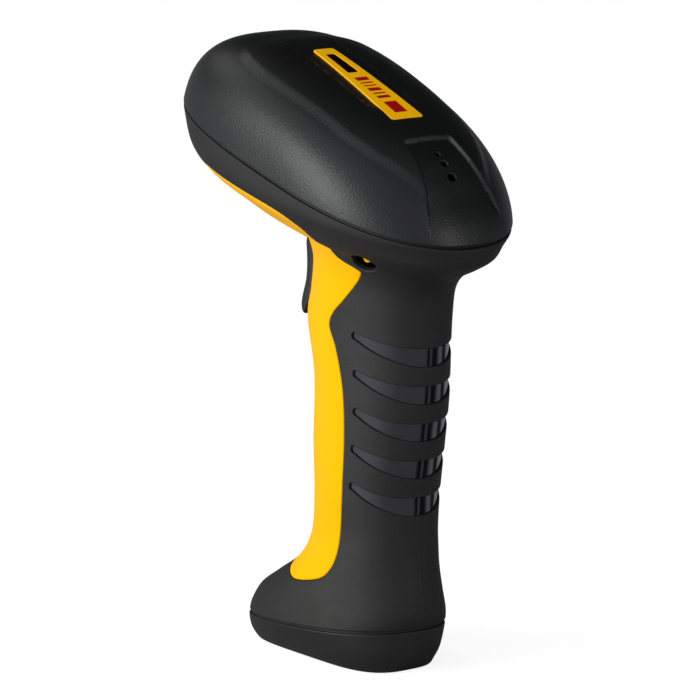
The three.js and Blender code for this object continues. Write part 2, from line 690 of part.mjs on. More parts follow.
// Closed slab between two strips of points, each a list of [low, high] pairs.
function slab(outer, inner) {
  const triangles = [];
  const quad = (a, b, c, d) => triangles.push(a, b, c, a, c, d);
  for (let i = 0; i + 1 < outer.length; i++) {
    const [a, b, c, d] = [outer[i][0], outer[i + 1][0], outer[i + 1][1], outer[i][1]];
    const [e, f, g, h] = [inner[i][0], inner[i + 1][0], inner[i + 1][1], inner[i][1]];
    quad(a, d, c, b);
    quad(e, f, g, h);
    quad(a, b, f, e);
    quad(d, h, g, c);
  }
  const [first, last] = [0, outer.length - 1];
  quad(outer[first][0], inner[first][0], inner[first][1], outer[first][1]);
  quad(outer[last][0], outer[last][1], inner[last][1], inner[last][0]);
  return solid(geometryFrom(triangles));
}

function makeOvermould(shellRegion, front) {
  let skin = bodySolid(0).intersect(shellRegion).subtract(bodyCavity(RUBBER));
  skin = skin.subtract(front).subtract(eyeCut(0)).subtract(mouthCut(GAP));
  for (let i = 0; i < BANDS.count; i++) skin = skin.subtract(bandCut(i));
  add("grip_overmould", largest(skin), RUBBER_BLACK);
}

function makeRearHousing(shellRegion, front) {
  const outer = bodySolid(RUBBER + GAP).intersect(shellRegion);
  let shell = outer.subtract(roomInside(RUBBER + GAP + WALL));
  const bossRadius = pilot(BASE_SCREW) + BOSS_WALL;
  for (const [x, y, top] of BASE_SCREW_PLACES) {
    const wallSide = y + Math.sign(y) * RIB.reach;
    const rib = box(x - RIB.half, x + RIB.half, Math.min(y, wallSide), Math.max(y, wallSide), 14, top);
    const boss = solid(post(x, y, 14, top, bossRadius)).add(solid(rib));
    shell = shell.add(boss.intersect(outer));
  }
  shell = shell.subtract(front).subtract(eyeCut(GAP)).subtract(mouthCut(GAP));
  for (const [x, y] of BASE_SCREW_PLACES)
    shell = shell.subtract(solid(post(x, y, 8, 23, pilot(BASE_SCREW), 12)));
  add("rear_housing", shell, GLOSS_BLACK);
}

function makeFrontHousing(shellRegion) {
  const outer = bodySolid(0).intersect(shellRegion).intersect(frontRegion(-GAP / 2));
  const [{ inner, front, back, low, high }, post] = [EARS, BOARD_POST];
  const ears = solid(box(-EARS.outer, EARS.outer, front, back, low, high)).subtract(
    solid(box(-inner, inner, front - 1, back + 1, low - 1, high + 1)),
  );
  const sides = [-1, 1].map((side) => side * post.x);
  const posts = sides.map((x) => rod(x, post.z, post.front, TRIGGER_BOARD.y - GAP, post.radius));
  const bosses = noseScrewPlaces().map(([w, h]) => headPost(w, h, -14, -5.3, 3.9));
  let shell = outer.subtract(roomInside(WALL)).add(ears.intersect(outer));
  for (const piece of [...posts, ...bosses]) shell = shell.add(solid(piece).intersect(outer));
  const cuts = [
    box(-SLOT.halfWidth, SLOT.halfWidth, -REACH, SLOT.back, SLOT.low, SLOT.high),
    axle(PIVOT.y, PIVOT.z, PIVOT.halfLength + GAP, PIVOT.radius + GAP),
    ...sides.map((x) => rod(x, post.z, post.front + 3, TRIGGER_BOARD.y + 1, post.pilot, 10)),
  ];
  for (const [w, h] of noseScrewPlaces()) {
    const seat = NOSE_SCREW.face + 1.5 + GAP;
    cuts.push(headPost(w, h, -REACH, seat, NOSE_SCREW.head + GAP));
    cuts.push(headPost(w, h, -REACH, 0, NOSE_SCREW.shaft + HOLE_ROOM, 12));
  }
  for (const cut of cuts) shell = shell.subtract(solid(cut));
  add("front_housing", shell.subtract(eyeCut(GAP)), YELLOW);
}

// ---- base
function makeBase() {
  const cup = baseSolid(0).intersect(belowBaseSeam());
  const aboveFloor = solid(box(-REACH, REACH, -REACH, REACH, BASE_FLOOR, 30));
  let cap = cup.subtract(baseSolid(WALL, AROUND_INSIDE).intersect(aboveFloor));
  const { head, shaft, face } = BASE_SCREW;
  for (const [x, y] of BASE_SCREW_PLACES) {
    cap = cap.add(solid(post(x, y, 1, 8.5, head + BOSS_WALL)).intersect(cup));
    cap = cap.subtract(solid(post(x, y, -1, face + 1.5 + GAP, head + HOLE_ROOM)));
    cap = cap.subtract(solid(post(x, y, -1, 20, shaft + HOLE_ROOM, 12)));
  }
  const port = usbBox(-GAP, -1, 20);
  add("base_cap", cap.subtract(port), RUBBER_BLACK);
  const [fy, fz, ry, rz] = BODY[0];
  const centre = new THREE.Vector3(0, (fy + ry) / 2, (fz + rz) / 2);
  const up = new THREE.Vector3(0, 0, 1);
  const ring = (inset, halfThick) => seamDisc(0, centre, up, inset, halfThick);
  add("base_seal", ring(1, GAP).subtract(ring(3, 1)), RUBBER_BLACK);
}

// The socket's outline, inset by some depth, from z0 to z1.
function usbBox(inset, z0, z1) {
  const [half, depth] = [USB.halfWidth - inset, USB.halfDepth - inset];
  return solid(box(-half, half, USB.y - depth, USB.y + depth, z0, z1));
}

function makePower() {
  const { y, low, high, radius } = BATTERY;
  const can = turned(
    [
      [0, low],
      [radius - 0.4, low],
      [radius, low + 0.4],
      [radius, high - 2.4],
      [radius - 0.8, high - 1.8],
      [radius - 0.8, high - 1],
      [3, high - 1],
      [3, high],
      [0, high],
    ],
    24,
  );
  add("battery_cell", solid(can.translate(0, y, 0)), WRAP);
  const { half, depth, thick } = CONTACT;
  const contact = (z) => box(-half, half, y - depth, y + depth, z, z + thick);
  add("battery_contact_lower", contact(low - GAP - thick), BRASS);
  add("battery_contact_upper", contact(high + GAP), BRASS);
  const arc = new THREE.Shape();
  arc.absarc(0, 0, radius + GAP + CRADLE.thick, CRADLE.open, Math.PI - CRADLE.open);
  arc.absarc(0, 0, radius + GAP, Math.PI - CRADLE.open, CRADLE.open, true);
  const options = { depth: CRADLE.height, bevelEnabled: false, curveSegments: 14 };
  const cradle = new THREE.ExtrudeGeometry(arc, options).translate(0, y, CRADLE.low);
  add("battery_cradle", solid(cradle), CHIP);
}

function makeCharging() {
  const { z, thick, halfWidth, front, rear } = CHARGE_BOARD;
  add("charge_board", box(-halfWidth, halfWidth, front, rear, z, z + thick), BOARD_GREEN);
  const top = z - GAP;
  const socket = usbBox(0, top - USB.height, top).subtract(usbBox(USB.sheet, 0, 9));
  const { halfWidth: half, halfThick, low, high } = USB_TONGUE;
  const tongue = box(-half, half, USB.y - halfThick, USB.y + halfThick, low, high);
  add("usb_socket", socket.add(solid(tongue)), STEEL);
}

// ---- trigger
function makeTrigger() {
  const profile = new THREE.Shape();
  profile.moveTo(-2.8, 123.3).lineTo(-11.8, 123.3);
  profile.quadraticCurveTo(-13.8, 123.3, -14, 120.5);
  profile.quadraticCurveTo(-13.7, 112.5, -15.2, 108);
  profile.quadraticCurveTo(-17.3, 101.8, -16.1, 100);
  profile.quadraticCurveTo(-14.6, 98, -11.2, 102.6);
  profile.lineTo(-5.6, 104.5).lineTo(-5.6, 116).lineTo(-2.8, 119);
  const points = profile.getPoints(6).map((p) => [p.x, p.y]);
  const rounded = solid(triggerColumn()).intersect(sidePrism(points, TRIGGER.halfWidth));
  const bore = solid(axle(PIVOT.y, PIVOT.z, 12, PIVOT.radius + GAP));
  add("trigger", rounded.subtract(bore), TEXTURED_BLACK);
  add("trigger_pin", axle(PIVOT.y, PIVOT.z, PIVOT.halfLength, PIVOT.radius), STEEL);
}

// A tall column that rounds the trigger's front corners.
function triggerColumn() {
  const { halfWidth, front, back, low, high, shoulder } = TRIGGER;
  const [bend, inner] = [front + shoulder / 4, halfWidth * 0.6];
  const shape = new THREE.Shape();
  shape.moveTo(-halfWidth, back).lineTo(-halfWidth, front + shoulder);
  shape.bezierCurveTo(-halfWidth, bend, -inner, front, 0, front);
  shape.bezierCurveTo(inner, front, halfWidth, bend, halfWidth, front + shoulder);
  shape.lineTo(halfWidth, back);
  const options = { depth: high - low, bevelEnabled: false, curveSegments: 8 };
  return new THREE.ExtrudeGeometry(shape, options).translate(0, 0, low);
}

function makeSwitch() {
  const { y, thick, halfWidth, low, high } = TRIGGER_BOARD;
  let board = solid(box(-halfWidth, halfWidth, y, y + thick, low, high));
  for (const x of [-BOARD_POST.x, BOARD_POST.x])
    board = board.subtract(solid(rod(x, BOARD_POST.z, 0, 10, BOARD_POST.hole, 10)));
  add("trigger_board", board, BOARD_GREEN);
  const { half, front, bore } = SWITCH;
  const housing = solid(box(-half, half, front, y - GAP, PLUNGER_Z - half, PLUNGER_Z + half));
  const well = solid(rod(0, PLUNGER_Z, front - 1, y - 0.8, bore));
  add("trigger_switch", housing.subtract(well), CHIP);
  const plunger = [
    [0, -5.3],
    [0.7, -5.2],
    [1.3, -4.6],
    [1.3, 0.8],
    [0, 0.8],
  ];
  const lathe = new THREE.LatheGeometry(shapeOf(plunger).getPoints(), 16);
  add("switch_plunger", solid(lathe.translate(0, 0, PLUNGER_Z)), YELLOW);
  add("trigger_spring", springSolid(SPRING.start, y - GAP), STEEL);
}

// A compression coil along +Y, from the trigger to its board.
function springSolid(start, end) {
  const { z, radius, wire, turns } = SPRING;
  class Coil extends THREE.Curve {
    getPoint(u, target = new THREE.Vector3()) {
      const a = 2 * Math.PI * turns * u;
      const y = start + wire + (end - start - 2 * wire) * u;
      return target.set(radius * Math.cos(a), y, z + radius * Math.sin(a));
    }
  }
  const section = new THREE.Shape();
  section.absarc(0, 0, wire, 0, 2 * Math.PI);
  const wireShape = new THREE.Shape(section.getSpacedPoints(6).slice(0, -1));
  const options = { steps: 9 * turns, bevelEnabled: false, extrudePath: new Coil() };
  return new THREE.ExtrudeGeometry(wireShape, options);
}

function makeLanyardBar() {
  const { y, z, halfLength, radius } = LANYARD_BAR;
  add("lanyard_bar", axle(y, z, halfLength, radius, 12), YELLOW);
}

// ---- screws: pan heads with a cross recess, drawn along +Z with the head's face at the origin
function screw({ length, head, shaft }) {
  const profile = [
    [0, 0],
    [head * 0.8, 0],
    [head, 0.5],
    [head, 1.5],
    [shaft, 1.5],
    [shaft, length - 1],
    [0, length],
  ];
  const [arm, half] = [head * 0.55, 0.35];
  return solid(turned(profile, 10))
    .subtract(solid(box(-arm, arm, -half, half, -1, 0.8)))
    .subtract(solid(box(-half, half, -arm, arm, -1, 0.8)));
}

function addScrew(name, size, matrix) {
  add(name, geometryOf(screw(size)).applyMatrix4(matrix), DARK_METAL);
}

function makeScrews() {
  const moved = (x, y, z) => new THREE.Matrix4().makeTranslation(x, y, z);
  BASE_SCREW_PLACES.forEach(([x, y], i) =>
    addScrew("base_screw_" + (i + 1), BASE_SCREW, moved(x, y, BASE_SCREW.face)),
  );
  const back = TRIGGER_BOARD.y + TRIGGER_BOARD.thick + 1.5 + GAP;
  for (const [name, side] of Object.entries({ right: -1, left: 1 })) {
    const place = moved(side * NOSE_SCREW.w, -NOSE_SCREW.h, NOSE_SCREW.face);
    addScrew("nose_screw_" + name, NOSE_SCREW, HEAD.clone().multiply(place));
    const turn = new THREE.Matrix4().makeRotationX(Math.PI / 2);
    const post = moved(side * BOARD_POST.x, back, BOARD_POST.z);
    addScrew("board_screw_" + name, BOARD_SCREW, post.multiply(turn));
  }
}

const region = betweenSeams();
const front = frontRegion(GAP / 2);
makeTopCover();
makeBadge();
makeNose();
makeHeadSeal();
makeEngine();
makeMainBoard();
makeOvermould(region, front);
makeRearHousing(region, front);
makeFrontHousing(region);
makeBase();
makePower();
makeCharging();
makeTrigger();
makeSwitch();
makeLanyardBar();
makeScrews();

export default scanner;
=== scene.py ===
"""Looks for the handheld barcode scanner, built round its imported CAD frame.

Shapes are worked out in millimetres in the CAD's own frame: +Z up, nose towards -Y, the operator's left
towards +X. Each housing is a fine sheet on the same smooth surface that the CAD solids were cut from, with
its openings cut along exact outlines and its edges rolled over.
"""

import json
import math

import bpy
import numpy as np
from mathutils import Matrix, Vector
from mathutils.bvhtree import BVHTree
from mathutils.geometry import delaunay_2d_cdt


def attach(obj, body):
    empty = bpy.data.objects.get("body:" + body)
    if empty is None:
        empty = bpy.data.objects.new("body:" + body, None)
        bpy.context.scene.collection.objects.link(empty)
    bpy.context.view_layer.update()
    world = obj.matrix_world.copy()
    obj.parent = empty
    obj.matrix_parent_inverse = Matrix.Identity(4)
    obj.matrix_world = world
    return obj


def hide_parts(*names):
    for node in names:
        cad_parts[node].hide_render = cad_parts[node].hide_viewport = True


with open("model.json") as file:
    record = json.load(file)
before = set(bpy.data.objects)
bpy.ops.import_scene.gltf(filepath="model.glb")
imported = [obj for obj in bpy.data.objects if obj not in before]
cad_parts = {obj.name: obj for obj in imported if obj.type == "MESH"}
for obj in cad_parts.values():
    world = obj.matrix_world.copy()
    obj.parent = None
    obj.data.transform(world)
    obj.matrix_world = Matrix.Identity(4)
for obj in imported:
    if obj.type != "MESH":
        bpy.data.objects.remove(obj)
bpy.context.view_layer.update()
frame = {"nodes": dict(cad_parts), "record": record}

MM = 0.001
PI = math.pi
GAP = 0.3  # clearance between neighbouring housings
SEAM = 1.2  # width of the grooves at the head and at the base

# ---- the shape: the CAD's, but nearer the photo in the yellow line, trigger, slot, eye and lanyard bar
# Rings of the lower body, from the base seam up to the head seam:
# frontY, frontZ, rearY, rearZ, halfWidth, squareness at the front, at the rear
BODY = np.array([
    [-34, 10, 33, 13, 21.5, 2.4, 2.4],
    [-33.5, 13.5, 34, 17, 21, 2.3, 2.3],
    [-30, 18.5, 33.5, 23, 20, 2.2, 2.2],
    [-22, 23.5, 32.5, 29, 18.5, 2.2, 2.2],
    [-12.5, 29.5, 32, 35, 17, 2.2, 2.2],
    [-7.5, 37.5, 32, 42, 16, 2.2, 2.2],
    [-6, 50, 32.5, 52, 16.3, 2.2, 2.2],
    [-6.5, 65, 34.5, 65, 16.6, 2.2, 2.2],
    [-6.1, 85, 36.5, 79, 16.8, 2.2, 2.2],
    [-9.4, 101.4, 37.5, 92.5, 17, 2.2, 2.2],
    [-9, 111, 38, 102.5, 17.4, 1.85, 2.2],
    [-7.9, 123, 39, 110.5, 18.1, 1.9, 2.2],
    [-14, 134.7, 42.5, 115, 21, 2.2, 2.2],
    [-29.6, 136, 49, 118, 24.5, 2.3, 2.2],
    [-40, 140.5, 53.5, 120.5, 28, 2.4, 2.2],
    [-47.5, 145, 55, 123.5, 31, 2.6, 2.2],
    [-52, 151.5, 55.5, 125.5, 33, 2.8, 2.3],
    [-54, 162.5, 55.5, 126.5, 33.5, 3, 2.4],
])
TOP = len(BODY) - 1
# Rings of the base cap, from the base seam down to the flat underside. The last number of each is how
# much narrower it gets towards the nose.
BASE = np.array([
    [-34, 10, 33, 13, 21.5, 2.4, 2.4, 0],
    [-33.9, 5.2, 31.2, 5.8, 18, 3.3, 2.6, 0.08],
    [-33.6, 1.8, 29.2, 1.9, 14.6, 4.2, 2.8, 0.17],
    [-32.9, 0.45, 28.2, 0.45, 12.8, 4.9, 3, 0.22],
    [-31.2, 0, 27.3, 0, 11.4, 5.2, 3.1, 0.25],
])
CROWN = [24.3, 5.3, -2.5, -0.4]  # crown height, a cubic in the forward fraction
FULLNESS = (0.49, 0.58, 0.4)  # of the dome's sections at the front, the side and the rear
FALL = (0.85, 0.74, 1.8)  # how those sections come down to the seam

# The line where the yellow front shell meets the rubber, in the side view (y, z).
UNDER_HEAD_LINE = [
    [-46, 138.5], [-41, 142], [-35, 143.3], [-29, 143.1], [-25.7, 142.4], [2.9, 134.9], [12.3, 130.4],
    [14.6, 127.2], [16.4, 123.8], [18, 121.7], [20.4, 120.3], [23.7, 119.1], [27, 117.6],
]
HANDLE_LINE = [
    [27, 117.6], [24.8, 114.8], [18.5, 108.5], [14, 104.5], [12, 100.5], [14.8, 94], [17.5, 83], [18, 70],
    [17, 56], [15.5, 40], [14.4, 33], [12.4, 29], [9, 26.4], [1, 24.7], [-5, 25.1], [-12.5, 29.8],
    [-20, 35],
]
BANDS = {"count": 5, "top": 95.3, "pitch": 11, "height": 5.2, "tip": 69.5, "rise": 4.4, "tip_height": 2.0}
GLOSS_INSET = 0.7  # how far the polished shell lies below the rubber's surface
EYE = {"y": 30.4, "z": 120.9, "half_length": 4.5, "half_height": 2.5, "slope": 0.1}
SLOT = {"half": 6.7, "low": 98.6, "high": 123.8, "corner": 1.6}
MOUTH = {"half": 19, "low": -8, "high": 13, "corner": 6}
NOSE_SCREW = {"w": 18.2, "h": 25, "radius": 2.7}
USB = {"y": 12, "half": 4.8, "depth": 1.9}
BASE_SCREWS = [(0, -22), (7.6, 21), (-7.6, 21)]
BASE_SCREW_HEAD = 2.9  # radius
# Crease of the raised centre panel on the cover: forward place and half-width.
CREASE = np.array(
    [[-58, 6], [-46, 11.5], [-36.3, 16.3], [-28.7, 19.8], [-19.6, 22.1], [-12.7, 22.6], [-1.4, 23.4],
     [6.9, 24], [16.8, 24.3], [25.8, 23], [31, 21], [38, 15]]
)
# The recess at the tail: forward place and half-width, and where it ends in a step.
RECESS = np.array([[-60, 15.5], [-52, 13.4], [-49, 12.5], [-44, 10.7], [-38, 9.4], [-29, 8.4], [-20, 8]])
RECESS_STEP = -29.0
PANEL_RISE = 0.8
CHANNEL_DEPTH = 0.3
RECESS_DEPTH = 1.25
SOUND_HOLES = [(-34.6, 0.85), (-38.2, 1.1), (-42.3, 1.35)]  # forward place and radius
BADGE = {"front": 21.5, "rear": -19.7, "half_front": 3.8, "half_rear": 6.0, "proud": 0.4}
BADGE_WINDOW = {"front": 18, "rear": 6.5, "half_front": 1.6, "half_rear": 2.0}
# Printed bars on the badge: rear and front edge of each, in the forward direction.
MARKS = [(-16.5, -10.6), (-8.6, -7.2), (-6.2, -5.5), (-4.5, -2.8), (-1.8, -1.2), (-0.2, 0.5), (1.5, 3.4)]
MARK_HALF = 2.3
# A seal's section: how far inside the body's surface, and how far along the groove.
SEAL_SECTION = [(2.6, -1.1), (1.6, -1.1), (1.0, -0.45), (1.0, 0.45), (1.6, 1.1), (2.6, 1.1)]
# The rim round the mouth: inset from the mouth's edge, and height above the head's surface.
RIM_OUTSIDE = [
    (0.05, -3.0), (0.05, -0.5), (0.12, -0.1), (0.35, 0.22), (0.7, 0.4), (1.2, 0.42), (1.7, 0.3), (2.0, 0.0),
    (2.3, -1.0),
]
# Its throat and the window behind it: inset, and forward place.
RIM_THROAT = [(3.2, 49.6), (3.6, 48.6), (3.8, 47.5), (3.0, 47.4)]
PANE = [(0.7, 45.3), (0.7, 47.0), (0.9, 47.2), (4.0, 47.25), (9.0, 47.3)]
PANE_INSET = 5.5  # the deepest inset that keeps the mouth's shape
LANYARD = {"y": 29.3, "z": 122.5, "radius": 1.7, "half": 17.8, "bevel": 0.3}
TRIGGER_HALF = 6.2
# The trigger in the side view. Each curve of its front: control point, end, number of points.
TRIGGER_TOP = [[-2.8, 123.3], [-11.8, 123.3]]
TRIGGER_FRONT = [
    ((-13.8, 123.3), (-14, 120.5), 20),
    ((-13.1, 112), (-14.7, 107.8), 24),
    ((-16.5, 103), (-16.2, 101.8), 12),
    ((-15.6, 99.6), (-13.4, 99.4), 12),
    ((-11.9, 99.6), (-11.2, 102.6), 10),
]
TRIGGER_BACK = [[-5.6, 104.5], [-5.6, 116], [-2.8, 119]]
PAST_MIDDLE = -0.3  # an angle a little beyond the middle plane, where half outlines end

# The studio. Camera and lights are in metres.
CAMERA = {"azimuth": 140, "elevation": 10, "distance": 1.5, "target": (0, 0.001, 0.090), "lens": 266.9}
FLOOR_RADIUS = 0.14
# name, width and height, power, place, aim, colour
LIGHTS = [
    ("key", (0.8, 1.0), 13, (1.17, -0.36, 0.42), (0, 0, 0.11), (0.97, 1.0, 0.95)),
    ("top", (0.6, 0.6), 1.5, (0.2, -0.9, 1.0), (0, 0, 0.1), (1, 1, 1)),
    ("right", (0.15, 0.7), 1.9, (-0.35, 1.1, 0.35), (0, 0, 0.1), (1, 1, 1)),
]
# Brightness of the studio round the object, by degrees to the right of the photo's viewpoint.
PANELS = [
    (-180, 0.15), (-165, 0.3), (-125, 0.35), (-105, 0.5), (-80, 0.75), (-60, 1.05), (-42, 0.95), (-20, 0.65),
    (0, 0.45), (55, 0.42), (70, 0.4), (76, 0.03), (96, 0.03), (104, 0.5), (114, 0.5), (120, 0.04),
    (132, 0.04), (140, 0.35), (165, 0.25), (179, 0.15),
]


def through(rows, t):
    """Smooth curve through rows of numbers; t counts rows from 0."""
    t = np.asarray(t, float)
    slopes = np.empty_like(rows, dtype=float)
    slopes[1:-1] = (rows[2:] - rows[:-2]) / 2
    slopes[0] = rows[1] - rows[0]
    slopes[-1] = rows[-1] - rows[-2]
    i = np.clip(np.floor(t).astype(int), 0, len(rows) - 2)
    u = (t - i)[..., None]
    p, q, m, n = rows[i], rows[i + 1], slopes[i], slopes[i + 1]
    return p + u * m + u * u * (3 * (q - p) - 2 * m - n) + u**3 * (m + n - 2 * (q - p))


def oval(angle, front, rear):
    """Squared oval of half-size 1, as forward and sideways parts."""
    c, s = np.cos(angle), np.sin(angle)
    n = (front + rear) / 2 + (front - rear) / 2 * c
    r = (np.abs(c) ** n + np.abs(s) ** n) ** (-1 / n)
    return c * r, s * r


def ring_point(rows, t, angle):
    row = through(rows, t)
    fy, fz, ry, rz, half, front, rear, *taper = np.moveaxis(row, -1, 0)
    f, w = oval(angle, front, rear)
    across = w * half * (1 - (taper[0] if taper else 0) * f)
    return np.stack([across, (fy + ry) / 2 + f * (fy - ry) / 2, (fz + rz) / 2 + f * (fz - rz) / 2], -1)


def body_point(t, angle):
    return ring_point(BODY, t, angle)


def base_point(t, angle):
    return ring_point(BASE, t, angle)


front_y, front_z, rear_y, rear_z = BODY[TOP][:4]
HEAD_CENTRE = np.array([0, (front_y + rear_y) / 2, (front_z + rear_z) / 2])
HEAD_HALF = math.hypot(front_y - rear_y, front_z - rear_z) / 2
HEAD_WIDE, SEAM_FRONT, SEAM_REAR = BODY[TOP][4:]
PITCH = math.atan2(front_z - rear_z, rear_y - front_y)
SIDEWAYS = np.array([1.0, 0, 0])
FORWARD = np.array([0, -math.cos(PITCH), math.sin(PITCH)])
UPWARD = np.array([0, math.sin(PITCH), math.cos(PITCH)])


def on_head(w, h, n):
    """A point of the head's own frame: sideways, forward along the seam plane, up from it."""
    w, h, n = np.broadcast_arrays(w, h, n)
    return HEAD_CENTRE + w[..., None] * SIDEWAYS + h[..., None] * FORWARD + n[..., None] * UPWARD


def in_head(points):
    local = points - HEAD_CENTRE
    return local @ SIDEWAYS, local @ FORWARD, local @ UPWARD


def smooth(low, high, v):
    u = np.clip((v - low) / (high - low), 0, 1)
    return u * u * (3 - 2 * u)


def cover_lift(w, h):
    """How far the cover's panel, channel and recess stand above or below the plain dome."""
    w = np.abs(w)
    half = np.interp(h, CREASE[:, 0], CREASE[:, 1])
    panel = PANEL_RISE * smooth(-1.6, 1.6, half - w) * smooth(-52, -36, h) * (1 - smooth(27, 36, h))
    channel = -CHANNEL_DEPTH * (1 - smooth(8.0, 9.2, w)) * smooth(-15, -9, h) * (1 - smooth(27, 33, h))
    side = np.interp(h, RECESS[:, 0], RECESS[:, 1])
    inside = smooth(-0.45, 0.45, side - w) * smooth(-0.45, 0.45, RECESS_STEP - h)
    recess = -RECESS_DEPTH * inside * smooth(-55, -46, h)
    return panel + channel + recess


def dome_height(w, h, lift=True):
    """Height of the cover over the seam plane, at a sideways and forward place."""
    x, y = w / HEAD_WIDE, h / HEAD_HALF
    angle = np.arctan2(x, y)
    f, s = oval(angle, SEAM_FRONT, SEAM_REAR)
    k = np.minimum(np.hypot(x, y) / np.hypot(f, s), 1)
    v = f * k
    crown = CROWN[0] + CROWN[1] * v + CROWN[2] * v * v + CROWN[3] * v**3
    c = np.cos(angle)
    to_front, to_rear = np.maximum(c, 0) ** 2, np.maximum(-c, 0) ** 2
    to_side = 1 - to_front - to_rear
    full = FULLNESS[0] * to_front + FULLNESS[2] * to_rear + FULLNESS[1] * to_side
    fall = FALL[0] * to_front + FALL[2] * to_rear + FALL[1] * to_side
    rise = np.maximum(1 - k ** (2 / full), 0) ** (fall / 2)
    return crown * rise + (cover_lift(w, h) if lift else 0)


def dome_point(u, angle):
    """A point of the cover; u is 0 at the crown and 1 at the seam."""
    f, s = oval(angle, SEAM_FRONT, SEAM_REAR)
    k = np.sin(u * PI / 2)
    w, h = s * k * HEAD_WIDE, f * k * HEAD_HALF
    return on_head(w, h, dome_height(w, h))


def normals(point, a, b, flip):
    """Outward normals of a surface with two parameters."""
    step = 1e-3
    along = point(a + step, b) - point(a - step, b)
    across = point(a, b + step) - point(a, b - step)
    n = np.cross(across, along) * flip
    return n / np.maximum(np.linalg.norm(n, axis=-1, keepdims=True), 1e-12)


def offset_from(point, flip, lift):
    """The surface that stands off another one by lift(a, b) along its normal."""
    return lambda a, b: point(a, b) + normals(point, a, b, flip) * lift(a, b)[..., None]


# ---- outlines
def lengths_along(line):
    return np.concatenate([[0], np.cumsum(np.linalg.norm(np.diff(line, axis=0), axis=1))])


def points_at(line, lengths, at):
    return np.stack([np.interp(at, lengths, line[:, 0]), np.interp(at, lengths, line[:, 1])], -1)


def closed_curve(points, count):
    """Evenly spaced points round a closed line."""
    p = np.array(points, float)
    p = np.vstack([p, p[:1]])
    s = lengths_along(p)
    return points_at(p, s, np.linspace(0, s[-1], count, endpoint=False))


def rounded_rectangle(x0, x1, y0, y1, r, steps=10):
    corners = [(x1 - r, y0 + r, -90), (x1 - r, y1 - r, 0), (x0 + r, y1 - r, 90), (x0 + r, y0 + r, 180)]
    points = []
    for x, y, start in corners:
        for i in range(steps + 1):
            a = math.radians(start + 90 * i / steps)
            points.append((x + r * math.cos(a), y + r * math.sin(a)))
    return np.array(points)


def taper(size, grow, corner=0.5):
    """A four-sided outline with rounded corners, in the head's (sideways, forward) plane."""
    f, r = size["front"] + grow, size["rear"] - grow
    a, b = size["half_front"] + grow, size["half_rear"] + grow
    corners = np.array([(-b, r), (b, r), (a, f), (-a, f)], float)
    points = []
    for i, p in enumerate(corners):
        before, after = corners[i - 1] - p, corners[(i + 1) % 4] - p
        start = p + before / np.linalg.norm(before) * corner
        end = p + after / np.linalg.norm(after) * corner
        for u in np.linspace(0, 1, 7):
            points.append((1 - u) ** 2 * start + 2 * u * (1 - u) * p + u * u * end)
    return np.array(points)


def in_polygon(points, outline):
    x, y = points[:, 0], points[:, 1]
    inside = np.zeros(len(points), bool)
    for (ax, ay), (bx, by) in zip(outline, np.roll(outline, -1, axis=0)):
        if ay == by:
            continue
        crosses = (ay > y) != (by > y)
        inside ^= crosses & (x < (bx - ax) * (y - ay) / (by - ay) + ax)
    return inside


def inside_all_but(points, outline, holes):
    """Whether each point is inside the outline and outside every hole."""
    inside = in_polygon(points, outline)
    for hole in holes:
        inside &= ~in_polygon(points, hole)
    return inside


def nearest_on(points, outline):
    """The nearest point of a closed line to each point."""
    a, b = outline, np.roll(outline, -1, axis=0)
    best, found = np.full(len(points), np.inf), points.copy()
    for p, q in zip(a, b):
        d = q - p
        u = np.clip(((points - p) @ d) / max(d @ d, 1e-12), 0, 1)
        at = p + u[:, None] * d
        far = np.linalg.norm(points - at, axis=1)
        closer = far < best
        best[closer], found[closer] = far[closer], at[closer]
    return found


def bisect(value, target, low, high, steps=40):
    """Where a rising function reaches its target, for arrays."""
    low, high = np.full(np.shape(target), float(low)), np.full(np.shape(target), float(high))
    for _ in range(steps):
        middle = (low + high) / 2
        below = value(middle) < target
        low, high = np.where(below, middle, low), np.where(below, high, middle)
    return (low + high) / 2


def from_side_view(points):
    """Body parameters (t, angle) of points in the side view, on the half x >= 0."""
    y, z = np.array(points, float).T

    def height(t):
        fy, fz, ry, rz = np.moveaxis(through(BODY, t), -1, 0)[:4]
        return -(z - fz - (y - fy) * (rz - fz) / (ry - fy))

    t = bisect(height, np.zeros(len(y)), -0.5, TOP + 0.5)
    fy, _, ry, _, _, front, rear = np.moveaxis(through(BODY, t), -1, 0)
    f = (y - (fy + ry) / 2) / ((fy - ry) / 2)
    angle = bisect(lambda a: -oval(a, front, rear)[0], -np.clip(f, -1, 1), 0, PI)
    return np.stack([t, np.where(f > 1, -0.2 * (f - 1) - 1e-3, angle)], -1)


def solve(point, project, target, start, rounds=12):
    """Surface parameters whose projection is a target, by Newton's method."""
    ab = np.array(start, float)
    for _ in range(rounds):
        here = project(point(ab[:, 0], ab[:, 1]))
        step = 1e-4
        da = (project(point(ab[:, 0] + step, ab[:, 1])) - here) / step
        db = (project(point(ab[:, 0], ab[:, 1] + step)) - here) / step
        jacobian = np.stack([da, db], -1)
        ab += np.clip(np.linalg.solve(jacobian, (target - here)[..., None])[..., 0], -0.6, 0.6)
    return ab


def grown(point, flip, outline, distance):
    """An outline in surface parameters, moved away from its own inside by a distance on the surface."""
    a, b = outline.T
    here, n = point(a, b), normals(point, a, b, flip)
    along = np.roll(here, -1, axis=0) - np.roll(here, 1, axis=0)
    out = np.cross(along, n)
    out /= np.maximum(np.linalg.norm(out, axis=1, keepdims=True), 1e-9)
    x, y = outline.T
    area = np.sum(x * np.roll(y, -1) - np.roll(x, -1) * y)
    step = 1e-4
    jacobian = np.stack([(point(a + step, b) - here) / step, (point(a, b + step) - here) / step], -1)
    move = np.einsum("nij,nj->ni", np.linalg.pinv(jacobian), out * distance)
    return outline + move * -np.sign(area) * flip


